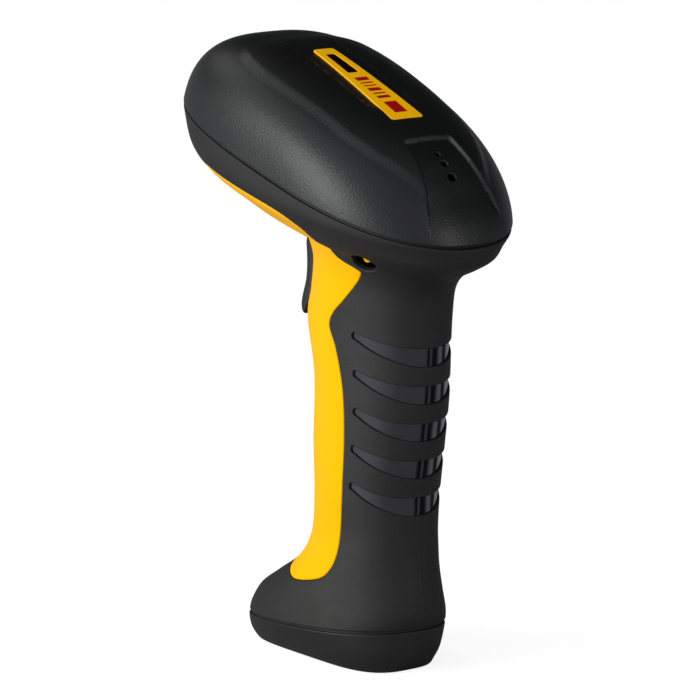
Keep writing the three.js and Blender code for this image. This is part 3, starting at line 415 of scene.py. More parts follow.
# ---- sheets cut from a surface
class Sheet:
    """Faces on the half x >= 0 of a surface. Each vertex is held as a pair of surface parameters."""

    def __init__(self, point, flip, a, b, low=None, high=None):
        self.point, self.flip, self.low, self.high = point, flip, low, high
        self.ab = np.stack([a, b], -1).reshape(-1, 2)
        rows, cols = a.shape
        index = np.arange(rows * cols).reshape(rows, cols)
        corners = [index[:-1, :-1], index[:-1, 1:], index[1:, 1:], index[1:, :-1]]
        self.faces = np.stack(corners[::flip], -1).reshape(-1, 4)
        self.on_low = np.zeros(rows * cols, bool)
        self.on_low[index[0]] = True
        self.on_high = np.zeros(rows * cols, bool)
        self.on_high[index[-1]] = True
        self.on_middle = (self.ab[:, 1] == 0) | (self.ab[:, 1] == PI)

    def cut(self, outline, keep_inside, scale):
        """Keeps one side of a closed outline, and moves the cut's edge exactly onto it."""
        scale = np.array(scale, float)
        centres = self.ab[self.faces].mean(1)
        kept = in_polygon(centres, outline) == keep_inside
        both = np.intersect1d(self.faces[kept], self.faces[~kept])
        held = self.ab[both].copy()
        self.ab[both] = nearest_on(held * scale, outline * scale) / scale
        middle = self.on_middle[both]
        self.ab[both[middle], 1] = held[middle, 1]
        for flags, edge in ((self.on_low, self.low), (self.on_high, self.high)):
            if edge is not None:
                on = both[flags[both]]
                self.ab[on, 0] = edge(self.ab[on, 1])
        self.faces = self.faces[kept]

    def whole(self):
        """Points, normals and faces of the sheet and its mirror image, joined along the middle."""
        used = np.unique(self.faces)
        index = np.full(len(self.ab), -1)
        index[used] = np.arange(len(used))
        a, b = self.ab[used].T
        points = self.point(a, b)
        n = normals(self.point, a, b, self.flip)
        on_middle = self.on_middle[used]
        points[on_middle, 0] = 0
        n[on_middle, 0] = 0
        n /= np.linalg.norm(n, axis=1, keepdims=True)
        mirror = np.array([-1, 1, 1])
        faces = index[self.faces]
        faces = np.vstack([faces, faces[:, ::-1] + len(used)])
        return joined(np.vstack([points, points * mirror]), np.vstack([n, n * mirror]), faces)


def joined(points, n, faces):
    """Merges points that coincide, and drops faces that have closed up."""
    _, first, same = np.unique(np.round(points, 3), axis=0, return_index=True, return_inverse=True)
    same = same.reshape(-1)
    kept = []
    for face in faces:
        corners = [same[v] for v in face if v >= 0]
        corners = [v for i, v in enumerate(corners) if v != corners[i - 1]]
        if len(corners) > 2 and len(set(corners)) == len(corners):
            kept.append(corners)
    return points[first], n[first], kept


def open_edges(faces):
    """The directed edges that only one face has, as start to end."""
    edges = {}
    for face in faces:
        for i, v in enumerate(face):
            edges[(face[i - 1], v)] = True
    return {a: b for a, b in edges if (b, a) not in edges}


def rolled(points, n, faces, radius, depth, steps=4, lip=1.2):
    """Rolls every open edge over by a radius, then takes it down to a depth and turns it under."""
    after = open_edges(faces)
    before = {b: a for a, b in after.items()}
    loop = np.array([v for v in after if v in before])
    place = {v: i for i, v in enumerate(loop)}
    ahead = np.array([after[v] for v in loop])
    behind = np.array([before[v] for v in loop])
    ahead2 = np.array([after.get(v, v) for v in ahead])
    behind2 = np.array([before.get(v, v) for v in behind])
    along = points[ahead] - points[behind] + 0.6 * (points[ahead2] - points[behind2])
    up = n[loop]
    inward = np.cross(up, along)
    inward /= np.maximum(np.linalg.norm(inward, axis=1, keepdims=True), 1e-9)
    rows, row_normals = [points[loop]], []
    for k in range(1, steps + 1):
        a = PI / 2 * k / steps
        rows.append(points[loop] - inward * radius * math.sin(a) - up * radius * (1 - math.cos(a)))
        row_normals.append(up * math.cos(a) - inward * math.sin(a))
    rows.append(points[loop] - inward * radius - up * depth)
    row_normals.append(-inward)
    rows.append(points[loop] + inward * lip - up * (depth + 0.05))
    row_normals.append(-up)
    count = len(loop)
    start = len(points)
    ids = [loop] + [start + i * count + np.arange(count) for i in range(len(rows) - 1)]
    extra = []
    for a, b in after.items():
        if a in place and b in place:
            i, j = place[a], place[b]
            for low, high in zip(ids, ids[1:]):
                extra.append([low[j], low[i], high[i], high[j]])
    return np.vstack([points, *rows[1:]]), np.vstack([n, *row_normals]), list(faces) + extra


# ---- Blender objects
def new_mesh(name, points, faces):
    mesh = bpy.data.meshes.new(name)
    mesh.from_pydata((np.array(points) * MM).tolist(), [], [[int(v) for v in face] for face in faces])
    mesh.polygons.foreach_set("use_smooth", np.ones(len(mesh.polygons), bool))
    return mesh


def link(name, mesh, slot, replaced, body="housing"):
    obj = bpy.data.objects.new(name, mesh)
    bpy.context.scene.collection.objects.link(obj)
    mesh.materials.append(MATERIALS[slot])
    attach(obj, body)
    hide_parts(replaced)


def sheet_object(name, data, slot, replaced):
    """An object with its own normals at its points."""
    points, n, faces = data
    mesh = new_mesh(name, points, faces)
    mesh.normals_split_custom_set_from_vertices(n.tolist())
    mesh.update()
    link(name, mesh, slot, replaced)


def plain_object(name, points, faces, slot, replaced, body="housing", angle=35):
    """An object whose edges are sharp where its faces meet at more than an angle."""
    mesh = new_mesh(name, points, faces)
    mesh.update()
    mesh.set_sharp_from_angle(angle=math.radians(angle))
    link(name, mesh, slot, replaced, body)


def loft(rings, ends=(True, True)):
    """Faces between closed rings, with a fan over each end that is closed."""
    rings = [np.array(r, float) for r in rings]
    count = len(rings[0])
    points = np.vstack(rings)
    faces = []
    for i in range(len(rings) - 1):
        for j in range(count):
            k = (j + 1) % count
            faces.append([i * count + j, i * count + k, (i + 1) * count + k, (i + 1) * count + j])
    for end, ring, start in ((ends[0], rings[0], 0), (ends[1], rings[-1], (len(rings) - 1) * count)):
        if end:
            centre = len(points)
            points = np.vstack([points, ring.mean(0)])
            for j in range(count):
                k = (j + 1) % count
                faces.append([centre, start + k, start + j] if start == 0 else [centre, start + j, start + k])
    return points, faces


# ---- materials
def add_node(tree, kind, inputs, **settings):
    """Adds a node. Each of its inputs is a value, or another node's output to link from."""
    node = tree.nodes.new("ShaderNode" + kind)
    for name, value in settings.items():
        setattr(node, name, value)
    for key, value in inputs.items():
        if isinstance(value, bpy.types.NodeSocket):
            tree.links.new(value, node.inputs[key])
        else:
            node.inputs[key].default_value = value
    return node


def calculate(tree, operation, *values):
    return add_node(tree, "Math", dict(enumerate(values)), operation=operation).outputs[0]


def along_axis(tree, vector, axis):
    node = add_node(tree, "VectorMath", {0: vector, 1: Vector(axis)}, operation="DOT_PRODUCT")
    return node.outputs["Value"]


def mix_colors(tree, factor, a, b, blend="MIX"):
    """Both colours mixed: a where the factor is 0, and b where it is 1."""
    inputs = {"Factor": factor, "A": a, "B": b}
    return add_node(tree, "Mix", inputs, data_type="RGBA", blend_type=blend).outputs["Result"]


def node_material(name, color, roughness, grain, depth, mottle=0.08, rough_vary=0.05, **sockets):
    """A moulded surface: grain in size (mm) and depth (mm), with slow changes of colour and roughness."""
    material = bpy.data.materials.new(name)
    material.use_nodes = True
    tree = material.node_tree
    shader = tree.nodes["Principled BSDF"]
    for key, value in sockets.items():
        shader.inputs[key.replace("_", " ")].default_value = value
    place = add_node(tree, "TexCoord", {}).outputs["Object"]

    def noise(size, detail):
        inputs = {"Scale": 1 / (size * MM), "Detail": detail, "Vector": place}
        return add_node(tree, "TexNoise", inputs).outputs["Fac"]

    dark = [*(c * (1 - mottle) for c in color), 1]
    light = [*(min(c * (1 + mottle), 1) for c in color), 1]
    tree.links.new(mix_colors(tree, noise(18, 3), dark, light), shader.inputs["Base Color"])
    low, high = max(roughness - rough_vary, 0), min(roughness + rough_vary, 1)
    polish = add_node(tree, "MapRange", {"To Min": low, "To Max": high, "Value": noise(4, 4)})
    tree.links.new(polish.outputs["Result"], shader.inputs["Roughness"])
    bump = add_node(tree, "Bump", {"Distance": depth * MM, "Strength": 1, "Height": noise(grain, 2)})
    tree.links.new(bump.outputs["Normal"], shader.inputs["Normal"])
    return material


# colour, roughness, grain size, grain depth, then whatever differs from the usual
FINISHES = {
    "textured_black": ((0.0052, 0.006, 0.0048), 0.41, 0.55, 0.1, {"mottle": 0.1, "rough_vary": 0.03}),
    "rubber_black": ((0.0078, 0.0068, 0.0062), 0.66, 0.45, 0.05, {"mottle": 0.12, "rough_vary": 0.04}),
    "trim_black": ((0.009, 0.009, 0.009), 0.5, 0.3, 0.03, {"mottle": 0.1}),
    "gloss_black": ((0.004, 0.0045, 0.007), 0.1, 2.5, 0.006, {"rough_vary": 0.03, "Coat_Weight": 0.6}),
    "yellow": (
        (1.0, 0.5, 0.0), 0.45, 0.6, 0.004,
        {"mottle": 0.015, "rough_vary": 0.04, "Specular_IOR_Level": 0.2, "Specular_Tint": (1, 0.7, 0, 1)},
    ),
    "dark_lens": ((0.012, 0.003, 0.003), 0.06, 6, 0.002, {"rough_vary": 0.02, "Coat_Weight": 0.5}),
    "steel": ((0.55, 0.55, 0.56), 0.3, 0.8, 0.004, {"Metallic": 1}),
    "dark_metal": ((0.1, 0.1, 0.11), 0.35, 0.5, 0.005, {"Metallic": 1}),
    "board_green": ((0.01, 0.1, 0.03), 0.4, 1.5, 0.01, {"mottle": 0.3}),
    "chip": ((0.012, 0.012, 0.013), 0.5, 0.2, 0.01, {}),
    "amber": ((0.45, 0.17, 0.015), 0.35, 1, 0.004, {}),
    "glass": ((0.35, 0.4, 0.42), 0.05, 5, 0.001, {"rough_vary": 0.02, "Transmission_Weight": 0.6}),
    "led_white": ((0.8, 0.8, 0.74), 0.3, 1, 0.003, {}),
    "wrap": ((0.02, 0.16, 0.34), 0.3, 3, 0.01, {}),
    "brass": ((0.6, 0.42, 0.12), 0.28, 0.6, 0.003, {"Metallic": 1}),
    "badge_yellow": ((1.0, 0.5, 0.003), 0.3, 1.5, 0.003, {"mottle": 0.02, "Coat_Weight": 0.3}),
}


def make_materials():
    made = {name: node_material(name, *look, **extra) for name, (*look, extra) in FINISHES.items()}
    print_badge_with_painted_glow(made["badge_yellow"])
    return made


def print_badge_with_painted_glow(material):
    """Prints a row of plain red bars on the badge's film, and makes the film glow a little: painted light
    that brightens the yellow and the bars as light from above would.
    """
    tree = material.node_tree
    shader = tree.nodes["Principled BSDF"]
    film = shader.inputs["Base Color"].links[0].from_socket
    place = add_node(tree, "TexCoord", {}).outputs["Object"]
    shift = float(HEAD_CENTRE @ FORWARD) * MM
    forward = calculate(tree, "SUBTRACT", along_axis(tree, place, FORWARD), shift)
    sideways = calculate(tree, "ABSOLUTE", along_axis(tree, place, SIDEWAYS))
    bars = None
    for start, end in MARKS:
        above = calculate(tree, "GREATER_THAN", forward, start * MM)
        below = calculate(tree, "LESS_THAN", forward, end * MM)
        bar = calculate(tree, "MULTIPLY", above, below)
        bars = bar if bars is None else calculate(tree, "MAXIMUM", bars, bar)
    printed = calculate(tree, "MULTIPLY", bars, calculate(tree, "LESS_THAN", sideways, MARK_HALF * MM))
    color = mix_colors(tree, printed, film, (0.36, 0.004, 0.004, 1))
    tree.links.new(color, shader.inputs["Base Color"])
    # Painted light: the film and its bars glow a little, which brightens the badge beyond what the lamps
    # give.
    tree.links.new(color, shader.inputs["Emission Color"])
    shader.inputs["Emission Strength"].default_value = 0.2


# ---- the lower body
def spaced(*spans):
    """Numbers over several spans, each (start, end, step)."""
    parts = [np.linspace(a, b, max(int(round(abs(b - a) / step)), 1), endpoint=False) for a, b, step in spans]
    return np.concatenate([*parts, [spans[-1][1]]])


def base_seam_line(y):
    fy, fz, ry, rz = BODY[0][:4]
    return fz + (rz - fz) / (ry - fy) * (y - fy)


def seam_gap_t(angle, above):
    """The ring parameter at which the body's edge stands clear of the base seam."""

    def height(t):
        p = body_point(t, angle)
        return p[..., 2] - base_seam_line(p[..., 1])

    return bisect(height, np.full(np.shape(angle), above), 0, 1)


def head_gap_t(angle, below):
    target = np.full(np.shape(angle), -below)
    return bisect(lambda t: in_head(body_point(t, angle))[2], target, TOP - 2, TOP)


ROLL = 0.4  # radius of a rolled housing edge
BAND_ROLL = 0.5
SEAM_EDGE = SEAM / 2 + ROLL - 0.15  # from the seam's middle to where a housing's roll starts
BODY_SCALE = (10, 20)  # rough lengths in mm of one step of each body parameter


def body_low(angle):
    return seam_gap_t(angle, SEAM_EDGE)


def body_high(angle):
    return head_gap_t(angle, SEAM_EDGE)


def body_sheet(point):
    angle = spaced((0, 1.2, 0.028), (1.2, 2.9, 0.022), (2.9, PI - 0.03, 0.02), (PI - 0.03, PI, 0.01))
    part = spaced((0, 0.2, 0.006), (0.2, 0.66, 0.0042), (0.66, 1, 0.0052))
    low, high = body_low(angle), body_high(angle)
    a = low + part[:, None] * (high - low)
    b = np.broadcast_to(angle, a.shape)
    return Sheet(point, 1, a, b, body_low, body_high)


def from_middle(ab, first, last):
    """A half outline, carried on to the middle plane and past it at both ends."""
    return np.vstack([[first, PAST_MIDDLE], [first, 0], ab, [last, 0], [last, PAST_MIDDLE]])


def yellow_outline():
    """The yellow shell's edge in body parameters, with its two ends on the middle of the front."""
    under = through(np.array(UNDER_HEAD_LINE), np.linspace(0, len(UNDER_HEAD_LINE) - 1, 1500))
    handle = through(np.array(HANDLE_LINE), np.linspace(0, len(HANDLE_LINE) - 1, 2500))
    line = np.vstack([under, handle[1:]])
    line = rounded_line(line, 0.8)
    ab = from_side_view(line)
    inside = np.flatnonzero(ab[:, 1] >= 0)
    first, last = inside[0], inside[-1]
    ab = ab[first : last + 1]
    s = lengths_along(ab * BODY_SCALE)
    ab = points_at(ab, s, np.linspace(0, s[-1], 420))
    return from_middle(ab[1:-1], ab[0, 0], ab[-1, 0])


def rounded_line(line, width):
    """A line with its corners softened over a width."""
    step = 0.1
    s = lengths_along(line)
    even = points_at(line, s, np.arange(0, s[-1], step))
    reach = int(width / step)
    kernel = np.hanning(2 * reach + 1)
    kernel /= kernel.sum()
    padded = np.vstack([np.repeat(even[:1], reach, 0), even, np.repeat(even[-1:], reach, 0)])
    return np.stack([np.convolve(padded[:, i], kernel, "valid") for i in range(2)], -1)


def band_outline(index):
    """One recessed band: a long lens across the back, in body parameters."""
    tip = math.radians(BANDS["tip"])
    off = np.linspace(0, tip, 60)
    u = off / tip
    high = BANDS["top"] - BANDS["pitch"] * index + BANDS["rise"] * u**2.3
    low = high - BANDS["height"] + (BANDS["height"] - BANDS["tip_height"]) * u**1.8
    half, middle = (high[-1] - low[-1]) / 2, (high[-1] + low[-1]) / 2
    turn = np.linspace(PI / 2, -PI / 2, 14)[1:-1]
    tip_off = tip + half / 16.5 * 0.8 * np.cos(turn)
    tip_z = middle + half * np.sin(turn)
    offs = np.concatenate([[-0.1], off, tip_off, off[::-1], [-0.1]])
    zs = np.concatenate([[high[0]], high, tip_z, low[::-1], [low[0]]])
    angle = PI - offs
    t = bisect(lambda t: body_point(t, angle)[..., 2], zs, 2, 11.5)
    return np.stack([t, angle], -1)


def eye_outline():
    """The lanyard hole's pointed oval, in body parameters."""
    a = np.linspace(0, 2 * PI, 96, endpoint=False)
    along = np.cos(a) * EYE["half_length"]
    rise = np.sin(a) * np.abs(np.sin(a)) ** 0.25 * EYE["half_height"]
    return from_side_view(np.stack([EYE["y"] + along, EYE["z"] + EYE["slope"] * along + rise], -1))


def slot_outline():
    """The trigger's slot in the front of the yellow shell, in body parameters."""
    half, r = SLOT["half"], SLOT["corner"]
    corners = rounded_rectangle(-half, half, SLOT["low"], SLOT["high"], r)
    points = closed_curve(corners, 240)
    points = points[points[:, 0] >= 0]
    points = points[np.argsort(np.arctan2(points[:, 1] - 111, points[:, 0]))]
    x, z = points.T
    t = np.full(len(x), 10.5)
    for _ in range(25):
        angle = bisect(lambda a: body_point(t, a)[..., 0], x, 0, PI / 2)
        t = bisect(lambda s: body_point(s, angle)[..., 2], z, 8, 13)
    return from_middle(np.stack([t, angle], -1), t[0], t[-1])


def head_plane(points):
    return np.stack(in_head(points)[:2], -1)


def nose_plane(points):
    return np.stack(in_head(points)[::2], -1)


def circle(x, y, r, count=48):
    a = np.linspace(0, 2 * PI, count, endpoint=False)
    return np.stack([x + r * np.cos(a), y + r * np.sin(a)], -1)


def located(point, project, target, a_range, b_range):
    """Surface parameters whose projection is each target, from the nearest of a coarse set."""
    a, b = np.meshgrid(np.linspace(*a_range, 60), np.linspace(*b_range, 90), indexing="ij")
    flat = np.stack([a.ravel(), b.ravel()], -1)
    there = project(point(flat[:, 0], flat[:, 1]))
    nearest = [np.argmin(((there - t) ** 2).sum(1)) for t in target]
    return solve(point, project, target, flat[nearest])


def mouth_points(grow):
    h, low, high, r = MOUTH["half"], MOUTH["low"], MOUTH["high"], MOUTH["corner"]
    return rounded_rectangle(-h - grow, h + grow, low - grow, high + grow, r + grow)


def to_seam(ab, beyond):
    """Half of the mouth's outline, carried on to the middle plane and across the head seam."""
    first, last = ab[0, 0], ab[-1, 1]
    return np.vstack([[first, PAST_MIDDLE], [first, 0], ab, [beyond, last], [beyond, PAST_MIDDLE]])


def mouth_on_body(grow):
    """The part of the mouth below the head seam, in body parameters."""
    points = closed_curve(mouth_points(grow), 400)
    points = points[(points[:, 0] >= 0) & (points[:, 1] <= 0)]
    points = points[np.argsort(points[:, 1] + 0.001 * points[:, 0])]
    ab = located(body_point, nose_plane, points, (13, TOP), (0, 1.2))
    return to_seam(ab, TOP + 1)


def mouth_on_dome(grow):
    points = closed_curve(mouth_points(grow), 400)
    points = points[(points[:, 0] >= 0) & (points[:, 1] >= 0)]
    points = points[np.lexsort((points[:, 0], -points[:, 1]))]
    ab = located(dome_point, nose_plane, points, (0.5, 1), (0.01, 1.2))
    return to_seam(ab, 1.2)


PARTING = 0.12  # height of the moulded line down the back of the rubber


def rubber_lift(_, angle):
    """The fine moulded line down the middle of the back."""
    wide = np.abs(np.abs(angle) - PI)
    return PARTING * (1 - smooth(0.008, 0.022, wide)) * (np.abs(angle) > 2)


rubber_point = offset_from(body_point, 1, rubber_lift)


def make_body():
    line = yellow_outline()
    edge = GAP / 4 + ROLL
    holes = circle(NOSE_SCREW["w"], NOSE_SCREW["h"], NOSE_SCREW["radius"] + ROLL)
    screw_holes = located(body_point, head_plane, holes, (12, TOP), (0.05, 1.6))
    front = body_sheet(body_point)
    front.cut(grown(body_point, 1, line, -edge), True, BODY_SCALE)
    front.cut(grown(body_point, 1, slot_outline(), ROLL), False, BODY_SCALE)
    front.cut(screw_holes, False, (8, 30))
    data = rolled(*front.whole(), radius=ROLL, depth=2.2)
    sheet_object("front_shell", data, "yellow", "front_housing")

    skin = body_sheet(rubber_point)
    skin.cut(grown(body_point, 1, line, edge), False, BODY_SCALE)
    skin.cut(mouth_on_body(GAP + ROLL), False, BODY_SCALE)
    skin.cut(grown(body_point, 1, eye_outline(), ROLL), False, BODY_SCALE)
    for i in range(BANDS["count"]):
        skin.cut(grown(body_point, 1, band_outline(i), BAND_ROLL), False, BODY_SCALE)
    data = rolled(*skin.whole(), radius=ROLL, depth=1.6)
    sheet_object("rubber_skin", data, "rubber_black", "grip_overmould")

    def gloss_lift(t, angle):
        return rubber_lift(t, angle) - GLOSS_INSET

    gloss_point = offset_from(body_point, 1, gloss_lift)
    rows = np.linspace(4.6, 10.6, 150)  # from below the lowest slot to above the highest
    angle = spaced((1.75, PI - 0.03, 0.03), (PI - 0.03, PI, 0.01))
    a = np.broadcast_to(rows[:, None], (len(rows), len(angle)))
    panel = Sheet(gloss_point, 1, a, np.broadcast_to(angle, a.shape))
    data = rolled(*panel.whole(), radius=0.2, depth=0.6, steps=2, lip=0.3)
    sheet_object("gloss_shell", data, "gloss_black", "rear_housing")


# ---- the cover and the badge
def dome_high(angle):
    target = np.full(np.shape(angle), -SEAM_EDGE)
    return bisect(lambda u: -in_head(dome_point(u, angle))[2], target, 0.8, 1)


def make_cover():
    angle = spaced((0, 2.55, 0.019), (2.55, PI, 0.0125))
    part = spaced((0, 0.3, 0.02), (0.3, 0.76, 0.0055), (0.76, 1, 0.009))
    part = np.where(part == 0, 0.004, part)
    a = part[:, None] * dome_high(angle)
    b = np.broadcast_to(angle, a.shape)
    cover = Sheet(dome_point, -1, a, b, None, dome_high)
    for h, r in SOUND_HOLES:
        behind, ahead = dome_height(np.zeros(2), np.array([h - 1, h + 1]))
        slope = (ahead - behind) / 2
        ring = circle(0.0, 0.0, r + 0.35) * [1, math.cos(math.atan(slope))] + [0, h]
        outline = located(dome_point, head_plane, ring, (0.2, 0.9), (2.2, 2 * PI - 2.2))
        cover.cut(outline, False, (70, 20))
    cover.cut(mouth_on_dome(GAP + ROLL), False, (60, 30))
    data = rolled(*cover.whole(), radius=0.35, depth=2.0)
    sheet_object("cover_shell", data, "textured_black", "top_cover")


def perimeter(line):
    return np.linalg.norm(line - np.roll(line, 1, axis=0), axis=1).sum()


def filled(loops, extra, outline, holes):
    """Triangles inside an outline and outside its holes, between the points of loops and extra points."""
    edges, start = [], 0
    for loop in loops:
        edges += [(start + i, start + (i + 1) % len(loop)) for i in range(len(loop))]
        start += len(loop)
    flat = [Vector(p) for p in np.vstack([*loops, *extra])]
    points, _, faces, *_ = delaunay_2d_cdt(flat, edges, [], 0, 1e-7)
    points = np.array([tuple(p) for p in points])
    centres = np.array([points[f].mean(0) for f in faces])
    good = inside_all_but(centres, outline, holes)
    return points, [f for f, ok in zip(faces, good) if ok]


def plate_sheet(outline, lift, holes=(), spacing=0.5):
    """A patch of the crown inside an outline, standing off the dome by a lift."""
    lines = [outline, *holes]
    loops = [closed_curve(line, max(int(perimeter(line) / spacing), 24)) for line in lines]
    low, high = outline.min(0), outline.max(0)
    x, y = np.meshgrid(*(np.arange(low[i], high[i], spacing) for i in range(2)), indexing="ij")
    grid = np.stack([x.ravel(), y.ravel()], -1) + [0.01, 0.013]
    free = inside_all_but(grid, outline, holes)
    for line in lines:
        free &= np.linalg.norm(grid - nearest_on(grid, line), axis=1) > spacing * 0.45
    points, faces = filled(loops, [grid[free]], outline, holes)
    w, h = points.T
    step = 0.05
    n = dome_height(w, h, False)
    dw = (dome_height(w + step, h, False) - dome_height(w - step, h, False)) / (2 * step)
    dh = (dome_height(w, h + step, False) - dome_height(w, h - step, False)) / (2 * step)
    normal = SIDEWAYS * -dw[:, None] + FORWARD * -dh[:, None] + UPWARD
    normal /= np.linalg.norm(normal, axis=1, keepdims=True)
    here = on_head(w, h, n) + normal * lift
    turned = []
    for a, b, c in faces:
        faces_up = np.cross(here[b] - here[a], here[c] - here[a]) @ UPWARD > 0
        turned.append([a, b, c] if faces_up else [c, b, a])
    return here, normal, turned


def make_badge():
    proud = PANEL_RISE - CHANNEL_DEPTH + BADGE["proud"]
    roll, pane_roll = 0.3, 0.15
    hole = taper(BADGE_WINDOW, 0.25, 0.6)
    plate = plate_sheet(taper(BADGE, -roll, 1.0), proud, [hole])
    data = rolled(*plate, radius=roll, depth=1.0, lip=0.2)
    sheet_object("badge", data, "badge_yellow", "badge_plate")
    pane = plate_sheet(taper(BADGE_WINDOW, -pane_roll, 0.5), proud - 0.1)
    data = rolled(*pane, radius=pane_roll, depth=0.8, steps=3, lip=0.1)
    sheet_object("badge_pane", data, "dark_lens", "badge_window")


# ---- the base cap
def base_low(angle):
    def depth(t):
        p = base_point(t, angle)
        return base_seam_line(p[..., 1]) - p[..., 2]

    return bisect(depth, np.full(np.shape(angle), SEAM_EDGE), 0, 1)


def make_base():
    angle = spaced((0, PI, 0.03))
    last = len(BASE) - 1
    part = spaced((0, 0.25, 0.03), (0.25, 1, 0.02))
    low = base_low(angle)
    a = low + part[:, None] * (last - low)
    cap = Sheet(base_point, -1, a, np.broadcast_to(angle, a.shape), base_low, None)
    points, n, faces = cap.whole()
    after = open_edges(faces)
    rim = next(v for v in after if points[v][2] < 0.01)
    loop = [rim]
    while after[loop[-1]] != rim:
        loop.append(after[loop[-1]])
    outer = points[loop][:, :2]
    clear = 0.25
    holes = [circle(x, y, BASE_SCREW_HEAD + clear, 40) for x, y in BASE_SCREWS]
    half, depth = USB["half"] + clear, USB["depth"] + clear
    holes.append(rounded_rectangle(-half, half, USB["y"] - depth, USB["y"] + depth, 1.4, 6))
    verts, floor = filled([outer, *holes], [], outer, holes)
    start = len(points)
    points = np.vstack([points, np.column_stack([verts, np.zeros(len(verts))])])
    n = np.vstack([n, np.tile([0, 0, -1.0], (len(verts), 1))])
    for f in floor:
        (ax, ay), (bx, by), (cx, cy) = verts[f]
        turn = (bx - ax) * (cy - ay) - (by - ay) * (cx - ax)
        f = [v + start for v in f]
        faces.append(f if turn < 0 else f[::-1])
    data = rolled(*joined(points, n, faces), radius=0.3, depth=2.2)
    sheet_object("base_shell", data, "trim_black", "base_cap")


def seal_rings(t, up, middle=None):
    """The body's ring t, and the corners of a seal's section round it."""
    angle = np.linspace(0, 2 * PI, 360, endpoint=False)
    ring = body_point(np.full(len(angle), float(t)), angle)
    out = ring - (ring.mean(0) if middle is None else middle)
    out /= np.linalg.norm(out, axis=1, keepdims=True)
    return ring, [ring - out * inset + up * high for inset, high in SEAL_SECTION]


def make_seals():
    """The two dark seals, set back in the grooves. The mouth leaves the upper one open at the front."""
    ring, rings = seal_rings(TOP, UPWARD, HEAD_CENTRE)
    clear = (np.abs(ring[:, 0]) > MOUTH["half"] - 0.1) | (ring[:, 1] > HEAD_CENTRE[1])
    first = [i for i in range(len(ring)) if clear[i] and not clear[i - 1]][0]
    order = [i for i in (np.arange(len(ring)) + first) % len(ring) if clear[i]]
    points, faces = loft([np.array([r[i] for r in rings]) for i in order])
    plain_object("head_seal_ring", points, faces, "rubber_black", "head_seal")

    _, rings = seal_rings(0, np.array([0, 0, 1.0]))
    points, faces = loft([*rings, rings[0]], (False, False))
    points, _, faces = joined(points, points, faces)
    plain_object("base_seal_ring", points, faces, "rubber_black", "base_seal")


# ---- the nose
def head_surface():
    """The whole head's outside, for finding how far forward it reaches."""
    a, b = np.meshgrid(np.linspace(0.3, 1, 70), np.linspace(-1.3, 1.3, 180), indexing="ij")
    upper = dome_point(a, b)
    a, b = np.meshgrid(np.linspace(13, TOP, 60), np.linspace(-1.3, 1.3, 180), indexing="ij")
    lower = body_point(a, b)
    points, faces = [], []
    for grid in (upper, lower):
        start = len(points)
        rows, cols = grid.shape[:2]
        points += [tuple(p) for p in grid.reshape(-1, 3)]
        for i in range(rows - 1):
            for j in range(cols - 1):
                v = start + i * cols + j
                faces.append((v, v + 1, v + cols + 1, v + cols))
    return BVHTree.FromPolygons(points, faces)


def make_nose():
    tree = head_surface()
    least = 47.9  # how far forward the rim's base lies everywhere

    def forward_reach(w, n):
        hit = tree.ray_cast(Vector(on_head(w, 80.0, n)), Vector(-FORWARD))[0]
        return least if hit is None else max(float((np.array(hit) - HEAD_CENTRE) @ FORWARD), least)

    base = closed_curve(mouth_points(0), 200)
    reach = np.array([forward_reach(w, n) for w, n in base * 0.995])

    def mouth_ring(inset, forward):
        line = nearest_in_order(base, closed_curve(mouth_points(-inset), len(base)))
        return on_head(line[:, 0], forward, line[:, 1])

    rings = [mouth_ring(inset, reach + height) for inset, height in RIM_OUTSIDE]
    rings += [mouth_ring(inset, forward) for inset, forward in RIM_THROAT]
    points, faces = loft(rings, (False, False))
    plain_object("nose_rim", points, faces, "trim_black", "nose_bezel", angle=50)

    pane = []
    for inset, forward in PANE:
        line = nearest_in_order(base, closed_curve(mouth_points(-min(inset, PANE_INSET)), len(base)))
        if inset > PANE_INSET:
            middle = np.array([0, (MOUTH["low"] + MOUTH["high"]) / 2])
            line = (line - middle) * 0.5 + middle
        pane.append(on_head(line[:, 0], forward, line[:, 1]))
    points, faces = loft(pane)
    plain_object("scan_pane", points, faces, "dark_lens", "scan_window")


def nearest_in_order(base, line):
    """The line's points, turned so that its first is the nearest to the base's first."""
    start = np.argmin(((line - base[0]) ** 2).sum(1))
    return np.roll(line, -start, axis=0)


# ---- the trigger
def bezier(a, b, c, count):
    u = np.linspace(0, 1, count)[:, None]
    a, b, c = np.array(a), np.array(b), np.array(c)
    return (1 - u) ** 2 * a + 2 * u * (1 - u) * b + u * u * c


def trigger_profile():
    """The trigger's outline in the side view."""
    lines = [np.array(TRIGGER_TOP)]
    for control, end, count in TRIGGER_FRONT:
        lines.append(bezier(lines[-1][-1], control, end, count)[1:])
    return np.vstack([*lines, TRIGGER_BACK])


